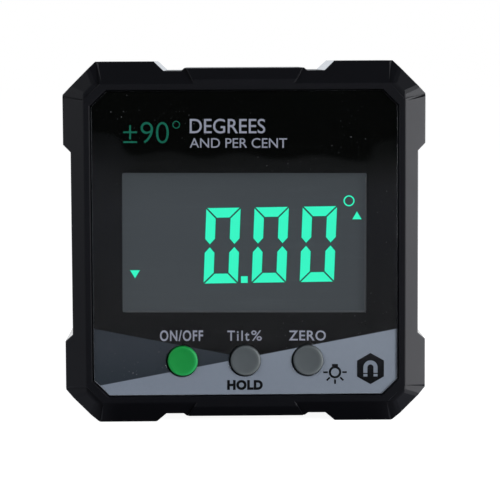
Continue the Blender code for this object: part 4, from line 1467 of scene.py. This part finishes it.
@dataclass
class Display:
    """The liquid crystal glass and what is lit on it."""

    face: float = -13.95
    glass_back: float = -11.95
    glass_half: Point = (23.0, 15.0)
    glass_chamfer: float = 0.15
    tilt: float = 0.53
    pivot: Point = (4.31, -0.39)
    digits: int = 3
    digit_width: float = 5.86
    digit_height: float = 12.95
    stroke: float = 1.66
    gap: float = 0.26
    corner_share: float = 0.7
    shoulder: float = 1.2
    slant: float = 0.053
    pitch: float = 8.24
    first_middle: float = -3.93
    layer: float = 0.02
    halo: float = 0.1
    halo_share: float = 0.7
    marks: tuple[tuple[Point, ...], ...] = (
        ((-0.74, -6.91), (0.42, -6.91), (0.42, -5.75), (-0.74, -5.75)),
        ((19.17, 5.27), (18.38, 3.92), (19.97, 3.92)),
        ((-19.71, -4.6), (-18.03, -4.6), (-18.87, -5.98)))
    ring_place: Point = (17.82, 7.09)
    ring_radii: Point = (0.94, 0.72)
    ring_sides: int = 40

    def build(self) -> None:
        """Make the glass, the digits, the point, the degree ring and the two marks."""
        wide, tall = self.glass_half
        glass = box("crystal_glass", (-wide, self.face, -tall), (wide, self.glass_back, tall),
                    self.glass_chamfer)
        present(glass, [CRYSTAL], ["display_glass"])
        self.lit_layer("segment_edges", SEGMENT_EDGE, self.halo, self.face - self.layer)
        self.lit_layer("segments", LIT_SEGMENT, 0.0, self.face - 2 * self.layer)

    def lit_layer(self, name: str, finish: Finish, extra: float, front: float) -> None:
        """Make one layer of the digits and marks.

        Args:
            name: what the layer holds, as the ending of its pieces' names.
            finish: what it is made of.
            extra: how much wider than the lit shapes it is.
            front: its front depth.
        """
        back = front + self.layer
        digit = joined("digit", [plate("segment", [self.slanted(spread(loop, extra))], front, back)
                                 for loop in self.zero_loops()])
        digits = row(f"display_{name}", digit, finish, self.digits, (self.pitch, 0.0, 0.0))
        present(self.turned(digits), [finish])
        marks = [plate("mark", loops, front, back) for loops in self.mark_loops(extra)]
        present(joined(f"display_marks_{name}", marks), [finish])

    def slanted(self, loop: Loop) -> Loop:
        """Lean a digit's loop to the right and set it at the first digit's place."""
        leaning = [(x + z * self.slant, z) for x, z in loop]
        return moved_loop(leaning, self.first_middle, self.pivot[1])

    def zero_loops(self) -> list[Loop]:
        """Draw the six lit segments of a nought.

        Returns:
            Their outlines about the nought's middle.
        """
        wide, tall, stroke = self.digit_width / 2, self.digit_height / 2, self.stroke
        away = self.gap * self.corner_share
        flat = [(-wide + away, tall), (wide - away, tall), (wide - stroke - away, tall - stroke),
                (-wide + stroke + away, tall - stroke)]
        post = [(-wide, tall - away), (-wide + stroke, tall - stroke - away),
                (-wide + stroke, self.shoulder), (-wide + stroke / 2, self.gap),
                (-wide, self.shoulder)]
        loops = [flat, post, [(-x, z) for x, z in reversed(post)]]
        return loops + [[(x, -z) for x, z in reversed(loop)] for loop in loops]

    def mark_loops(self, extra: float) -> list[list[Loop]]:
        """Draw the point, the two arrow heads and the degree ring.

        Args:
            extra: how much wider than the lit shapes they are.

        Returns:
            The outlines of each.
        """
        large, small = self.ring_radii
        ring = [circle(*self.ring_place, radius, self.ring_sides)
                for radius in (large + extra / 2, small - extra / 2)]
        return [[spread(list(loop), extra * self.halo_share)] for loop in self.marks] + [ring]

    def turned(self, piece: bpy.types.Object) -> bpy.types.Object:
        """Turn a piece by the glass's small tilt in its seat.

        Args:
            piece: the piece.

        Returns:
            The same piece.
        """
        middle = ground(self.pivot[0], 0.0, self.pivot[1])
        turn = Matrix.Rotation(math.radians(-self.tilt), 4, "Y")
        piece.data.transform(Matrix.Translation(middle) @ turn @ Matrix.Translation(-middle))
        return piece


@dataclass
class Key:
    """One push button: its cap with a dished face, and the plunger and switch behind it."""

    name: str
    x: float
    body: Body
    slot: Slot
    finish: KeyPlastic
    shift: Point = (-0.05, 0.09)
    face: float = -16.0
    dish: tuple[Point, ...] = ((0.0, 0.13), (0.9, 0.12), (1.5, 0.09), (1.9, 0.045), (2.15, 0.01),
                               (2.26, 0.0), (2.38, 0.02), (2.47, 0.08), (2.54, 0.17))
    wall: tuple[Point, ...] = ((KEY_RADIUS, 0.3), (KEY_RADIUS, 4.15))
    flange: tuple[Point, ...] = ((3.6, 4.15), (3.6, 5.0))
    foot: tuple[Point, ...] = ((1.5, 5.0), (1.5, 5.7), (0.0, 5.7))

    def build(self) -> None:
        """Make the cap and dress the plunger and the switch."""
        centre = (self.x + self.shift[0], KEY_HEIGHT + self.shift[1], self.face)
        cap = lathe(f"{self.name}_cap", self.dish + self.wall + self.flange + self.foot, centre)
        present(cap, [self.finish], [f"{self.name}_button"], self.body)
        dress_node(f"{self.name}_plunger", NYLON)
        dress_node(f"{self.name}_switch", CHIP_RESIN)


@dataclass
class Inside:
    """What the shells hold, whose solids stay as they are: board, cells, contacts, screws."""

    finishes: tuple[tuple[Finish, str], ...] = (
        (LACQUER, "main_board"), (CHIP_RESIN, "controller_chip"), (FROSTED, "backlight_guide"),
        (NYLON, "display_frame backlight_led_left backlight_led_right"),
        (RUBBER, "display_connector battery_cover_seal"), (JACKET, "battery_upper battery_lower"),
        (DULL_STEEL, "battery_spring_upper battery_spring_lower"),
        (STEEL, "level_sensor battery_link_plate battery_contact_minus battery_contact_plus "
                "contact_pin_minus contact_pin_plus battery_cover_screw"))
    numbered: tuple[str, ...] = ("board_screw", "housing_screw", "magnet")
    count: int = 4

    def build(self) -> None:
        """Dress the inner nodes."""
        for finish, nodes in self.finishes:
            for node in nodes.split():
                dress_node(node, finish)
        for index in range(self.count):
            for node in self.numbered:
                dress_node(f"{node}_{index + 1}", STEEL)


@dataclass
class BatteryDoor:
    """The battery cover with its row of grip grooves."""

    outside: float = 16.0
    groove_width: float = 27.0
    groove_height: float = 0.7
    groove_depth: float = 0.45
    first_groove: float = -2.5
    groove_pitch: float = 1.6
    grooves: int = 6

    def build(self) -> None:
        """Cut the grooves into a copy of the cover."""
        piece = from_bmesh("battery_door", welded_copy("battery_cover"))
        half = self.groove_width / 2
        bar = box("bar", (-half, self.outside - self.groove_depth, self.first_groove),
                  (half, self.outside + self.groove_depth, self.first_groove + self.groove_height))
        bars = row("grip_bars", bar, DOOR_PLASTIC, self.grooves, (0.0, 0.0, self.groove_pitch))
        cut = piece.modifiers.new("grooves", "BOOLEAN")
        cut.operation = "DIFFERENCE"
        cut.solver = "EXACT"
        cut.object = bars
        mesh = evaluated_mesh(piece)
        bpy.data.objects.remove(bars)
        present(linked("battery_door", mesh), [DOOR_PLASTIC], ["battery_cover"])


@dataclass
class BoardParts:
    """The small parts on the back of the board: the controller's leads and the capacitors."""

    board_back: float = -4.25
    leads: int = 8
    lead_pitch: float = 1.0
    lead: Triple = (0.4, 0.35, 0.7)
    capacitor: Triple = (1.1, 0.5, 0.55)
    capacitor_edge: float = 0.06
    columns: tuple[float, ...] = (-15.0, -12.2, -9.4, -6.6, 6.0, 8.8, 11.6, 14.4)
    rows: tuple[float, ...] = (-3.4, -5.6)

    def build(self) -> None:
        """Make the leads and the capacitors."""
        self.chip_leads()
        self.capacitors()

    def chip_leads(self) -> None:
        """Repeat one lead along the controller's four sides."""
        low, high = (about_middle(corner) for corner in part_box("controller_chip"))
        wide, tall, long = self.lead
        half = (wide + (self.leads - 1) * self.lead_pitch) / 2
        across, up = (low.x + high.x) / 2 - half, (low.z + high.z) / 2 - half
        near, far = self.board_back, self.board_back + tall
        rows = []
        for side in (low.z - long, high.z):
            lead = box("lead", (across, near, side), (across + wide, far, side + long))
            rows.append(row("lead_row", lead, STEEL, self.leads, (self.lead_pitch, 0.0, 0.0)))
        for side in (low.x - long, high.x):
            lead = box("lead", (side, near, up), (side + long, far, up + wide))
            rows.append(row("lead_row", lead, STEEL, self.leads, (0.0, 0.0, self.lead_pitch)))
        present(joined("chip_leads", rows), [STEEL])

    def capacitors(self) -> None:
        """Set capacitors in rows over the back of the board."""
        work = bmesh.new()
        bmesh.ops.create_cube(work, size=1.0)
        bmesh.ops.scale(work, vec=[side * MM for side in self.capacitor], verts=work.verts)
        soften(work, work.edges[:], self.capacitor_edge * MM, segments=1)
        stamp = from_bmesh("capacitor", work)
        depth = self.board_back + self.capacitor[1] / 2
        places = bpy.data.meshes.new("capacitor_places")
        places.from_pydata([ground(x, depth, z) for x in self.columns for z in self.rows], [], [])
        host = linked("capacitor_places", places)
        parts = scatter_tree("capacitor_scatter", CERAMIC, stamp).grow(host, "board_passives",
                                                                      {"Size": 1.0})
        bpy.data.objects.remove(stamp)
        present(parts, [CERAMIC])


@dataclass(frozen=True)
class Lamp:
    """A soft box: its place and sides in metres, its power in watts, and whether gloss shows it.

    One that gloss shows stands upright and looks across the table.
    """

    name: str
    place: Triple
    sides: Point
    power: float
    mirrored: bool = False

    def build(self) -> None:
        """Hang the lamp."""
        light = bpy.data.lights.new(self.name, "AREA")
        light.shape = "RECTANGLE"
        light.size, light.size_y = self.sides
        light.energy = self.power
        light.color = LAMP_COLOUR
        lamp = bpy.data.objects.new(self.name, light)
        lamp.location = self.place
        away = Vector((self.place[0], 0.0, 0.0)) if self.mirrored else (
            Vector(self.place) - ground(0, 0, 0))
        lamp.rotation_euler = away.to_track_quat("Z", "Y").to_euler()
        lamp.visible_camera = False
        lamp.visible_glossy = self.mirrored
        bpy.context.scene.collection.objects.link(lamp)


def card(name: str, place: Triple, level: float, sides: Point = (0.62, 0.14)) -> Lamp:
    """A lamp that shows in gloss at a plain level of brightness.

    Args:
        name: the lamp's name.
        place: where it stands, in metres.
        level: how bright it looks, 1 for white.
        sides: its width and height in metres.

    Returns:
        The lamp.
    """
    return Lamp(name, place, sides, level * math.pi * sides[0] * sides[1], True)


@dataclass
class Studio:
    """Camera, lamps, surroundings and the pale floor; floor and lamps are placed in metres."""

    camera_place: Triple = (-4.5, -376.2, 31.4)
    yaw: float = 0.8451
    pitch: float = 5.1495
    roll: float = -0.2872
    focal_pixels: float = 2124.2
    frame_pixels: int = 500
    sensor: float = 36.0
    clip_start: float = 0.01
    lamps: tuple[Lamp, ...] = (
        Lamp("key_lamp", (0.6, -0.78, 0.24), (0.45, 0.45), 11.5),
        Lamp("fill_lamp", (-0.55, -0.6, 0.42), (0.5, 0.5), 3.4),
        card("right_card", (0.27, -0.06, 0.07), 2.6),
        card("left_card", (-0.27, -0.06, 0.1), 0.42))
    sky: Colour = (0.9, 0.94, 1.0)
    horizon: Span = (0.02, 0.45)
    right_wall: Span = (0.3, 0.8)
    right_levels: Span = (0.2, 1.2)
    left_wall: Span = (0.3, 0.7)
    left_level: float = 0.46
    ceiling: Span = (0.35, 0.95)
    ceiling_level: float = 0.05
    back_wall: Span = (0.5, 0.8)
    ambient_side: Span = (-0.4, 1.0)
    ambient_levels: Span = (0.16, 0.3)
    floor_half: float = 4.0
    edge_distance: float = -1.035
    edge_blur: Span = (-0.03, 0.035)
    edge_slope: float = 0.65
    edge_middle: float = 0.014
    edge_ends: Span = (0.068, 0.126)
    edge_drop: float = -0.42
    wave_pace: float = 131.0
    wave_start: float = -2.883
    wave_height: float = 0.042
    table_near: Colour = (0.055, 0.055, 0.065)
    table_rings: tuple[tuple[Span, Colour], ...] = (((0.05, 0.13), (0.42, 0.42, 0.44)),
                                                    ((0.14, 0.4), (0.33, 0.34, 0.38)))
    table_dark: tuple[Span, Span, Colour] = ((0.5, 0.9), (-0.08, -0.045), (0.2, 0.205, 0.21))
    table_right: tuple[Span, float, Colour] = ((0.0, 0.12), 0.3, (0.12, 0.12, 0.12))
    beside_start: Span = (-0.06, -0.03)
    beside_glow: tuple[Span, Colour] = ((0.022, 0.03), (0.28, 0.29, 0.34))
    right_glow: tuple[Span, Colour] = ((0.036, 0.044), (3.1, 3.1, 3.25))
    behind_flare: float = 0.6
    behind_start: Span = (0.03, 0.05)
    floor_seen: Colour = (0.3, 0.3, 0.3)
    floor_seen_glow: Colour = (0.93, 0.93, 0.93)
    floor_roughness: float = 0.9

    def build(self) -> None:
        """Set the stage."""
        self.camera()
        self.world()
        self.floor()
        for lamp in self.lamps:
            lamp.build()
        bpy.context.scene.view_settings.view_transform = "Standard"

    def camera(self) -> None:
        """Place the camera at the photograph's angle."""
        yaw, pitch, roll = (math.radians(angle) for angle in (self.yaw, self.pitch, self.roll))
        ahead = Vector((math.sin(yaw) * math.cos(pitch), math.cos(yaw) * math.cos(pitch),
                        -math.sin(pitch)))
        level = Vector((math.cos(yaw), -math.sin(yaw), 0.0))
        upright = level.cross(ahead)
        right = level * math.cos(roll) + upright * math.sin(roll)
        up = upright * math.cos(roll) - level * math.sin(roll)
        lens = bpy.data.cameras.new("camera")
        lens.sensor_width = self.sensor
        lens.lens = self.focal_pixels / self.frame_pixels * self.sensor
        lens.clip_start = self.clip_start
        camera = linked("camera", lens)
        turn = Matrix((right, up, -ahead)).transposed().to_4x4()
        camera.matrix_world = Matrix.Translation(ground(*self.camera_place)) @ turn
        bpy.context.scene.camera = camera

    def world(self) -> None:
        """Put white behind the object, and walls of different strength round it."""
        world = bpy.data.worlds.new("studio")
        world.use_nodes = True
        bpy.context.scene.world = world
        sheet = NodeSheet(world.node_tree)
        x, y, z = sheet.parts(sheet.signal("ShaderNodeTexCoord", output="Generated"))
        low = 1 - z.step(*self.horizon)
        right = x.step(*self.right_wall) * (self.right_levels[1] * low + self.right_levels[0])
        left = (-x).step(*self.left_wall) * self.left_level
        mirrored = right + left + z.step(*self.ceiling) * self.ceiling_level
        mirrored = mirrored.largest(y.step(*self.back_wall))
        ambient = self.ambient_levels[0] + x.step(*self.ambient_side) * self.ambient_levels[1]
        glossy = sheet.rays("Glossy")
        seen = sheet.rays("Camera", "Transmission")
        sheet.connect(world.node_tree.nodes["Background"], {
            "Color": sheet.mixed(seen, self.sky, WHITE),
            "Strength": seen + (1 - seen) * (glossy * mirrored + (1 - glossy) * ambient)})

    def floor_shade(self, sheet: NodeSheet, x: Signal, y: Signal) -> Signal:
        """The colour with which the table lights and shows in the object.

        Args:
            sheet: the table's nodes.
            x: distance to the right, in metres.
            y: distance to the back, in metres.

        Returns:
            The colour, black past the table's wavy front edge.
        """
        ends = (x - self.edge_middle).size().step(*self.edge_ends) * self.edge_drop
        wave = (x * self.wave_pace + self.wave_start).wave() * self.wave_height
        edge = self.edge_distance + ends + x * self.edge_slope + wave
        table = (y - edge).step(*self.edge_blur)
        rings = [((-y).step(*reach), colour) for reach, colour in self.table_rings]
        front, side, dark = self.table_dark
        right, share, shade = self.table_right
        dull = sheet.layered(self.table_near, [
            *rings, ((-y).step(*front) * x.step(*side), dark), (x.step(*right) * share, shade)])
        return sheet.mixed(table, BLACK, dull)

    def floor_glow(self, sheet: NodeSheet, x: Signal, y: Signal) -> Signal:
        """The glow that gloss shows beside and behind the object.

        Args:
            sheet: the table's nodes.
            x: distance to the right, in metres.
            y: distance to the back, in metres.

        Returns:
            The glow's colour.
        """
        glossy = sheet.rays("Glossy")
        beside = y.step(*self.beside_start) * glossy
        return sheet.layered(BLACK, [
            (beside * x.size().step(*self.beside_glow[0]), self.beside_glow[1]),
            (beside * x.step(*self.right_glow[0]), self.right_glow[1]),
            (glossy * (y - x.size() * self.behind_flare).step(*self.behind_start), WHITE)])

    def floor(self) -> None:
        """Lay a pale table that reads white, keeps the shadow, and ends a metre in front."""
        work = bmesh.new()
        bmesh.ops.create_grid(work, x_segments=1, y_segments=1, size=self.floor_half)
        floor = from_bmesh("floor", work)
        made = bpy.data.materials.new("pale_table")
        made.use_nodes = True
        sheet = NodeSheet(made.node_tree)
        x, y, _ = sheet.parts(sheet.place())
        seen = sheet.rays("Camera", "Transmission")
        sheet.connect(made.node_tree.nodes["Principled BSDF"], {
            "Base Color": sheet.mixed(seen, self.floor_shade(sheet, x, y), self.floor_seen),
            "Roughness": self.floor_roughness,
            "Specular IOR Level": 0.0,
            "Emission Color": sheet.mixed(seen, self.floor_glow(sheet, x, y),
                                          self.floor_seen_glow),
            "Emission Strength": 1.0})
        floor.data.materials.append(made)


def main() -> None:
    """Build and dress the gauge and its studio."""
    logging.basicConfig(level=logging.INFO, format="%(name)s: %(message)s")
    for assembly in (
            Shells(), Window(), Lettering(), Display(),
            Key("power", -KEY_PITCH, Body.POWER, Slot.GREEN_KEY, POWER_PLASTIC),
            Key("hold", 0.0, Body.HOLD, Slot.GREY_KEY, HOLD_PLASTIC),
            Key("zero", KEY_PITCH, Body.ZERO, Slot.GREY_KEY, ZERO_PLASTIC),
            Inside(), BatteryDoor(), BoardParts(), Studio()):
        assembly.build()


if __name__ == "__main__":
    main()
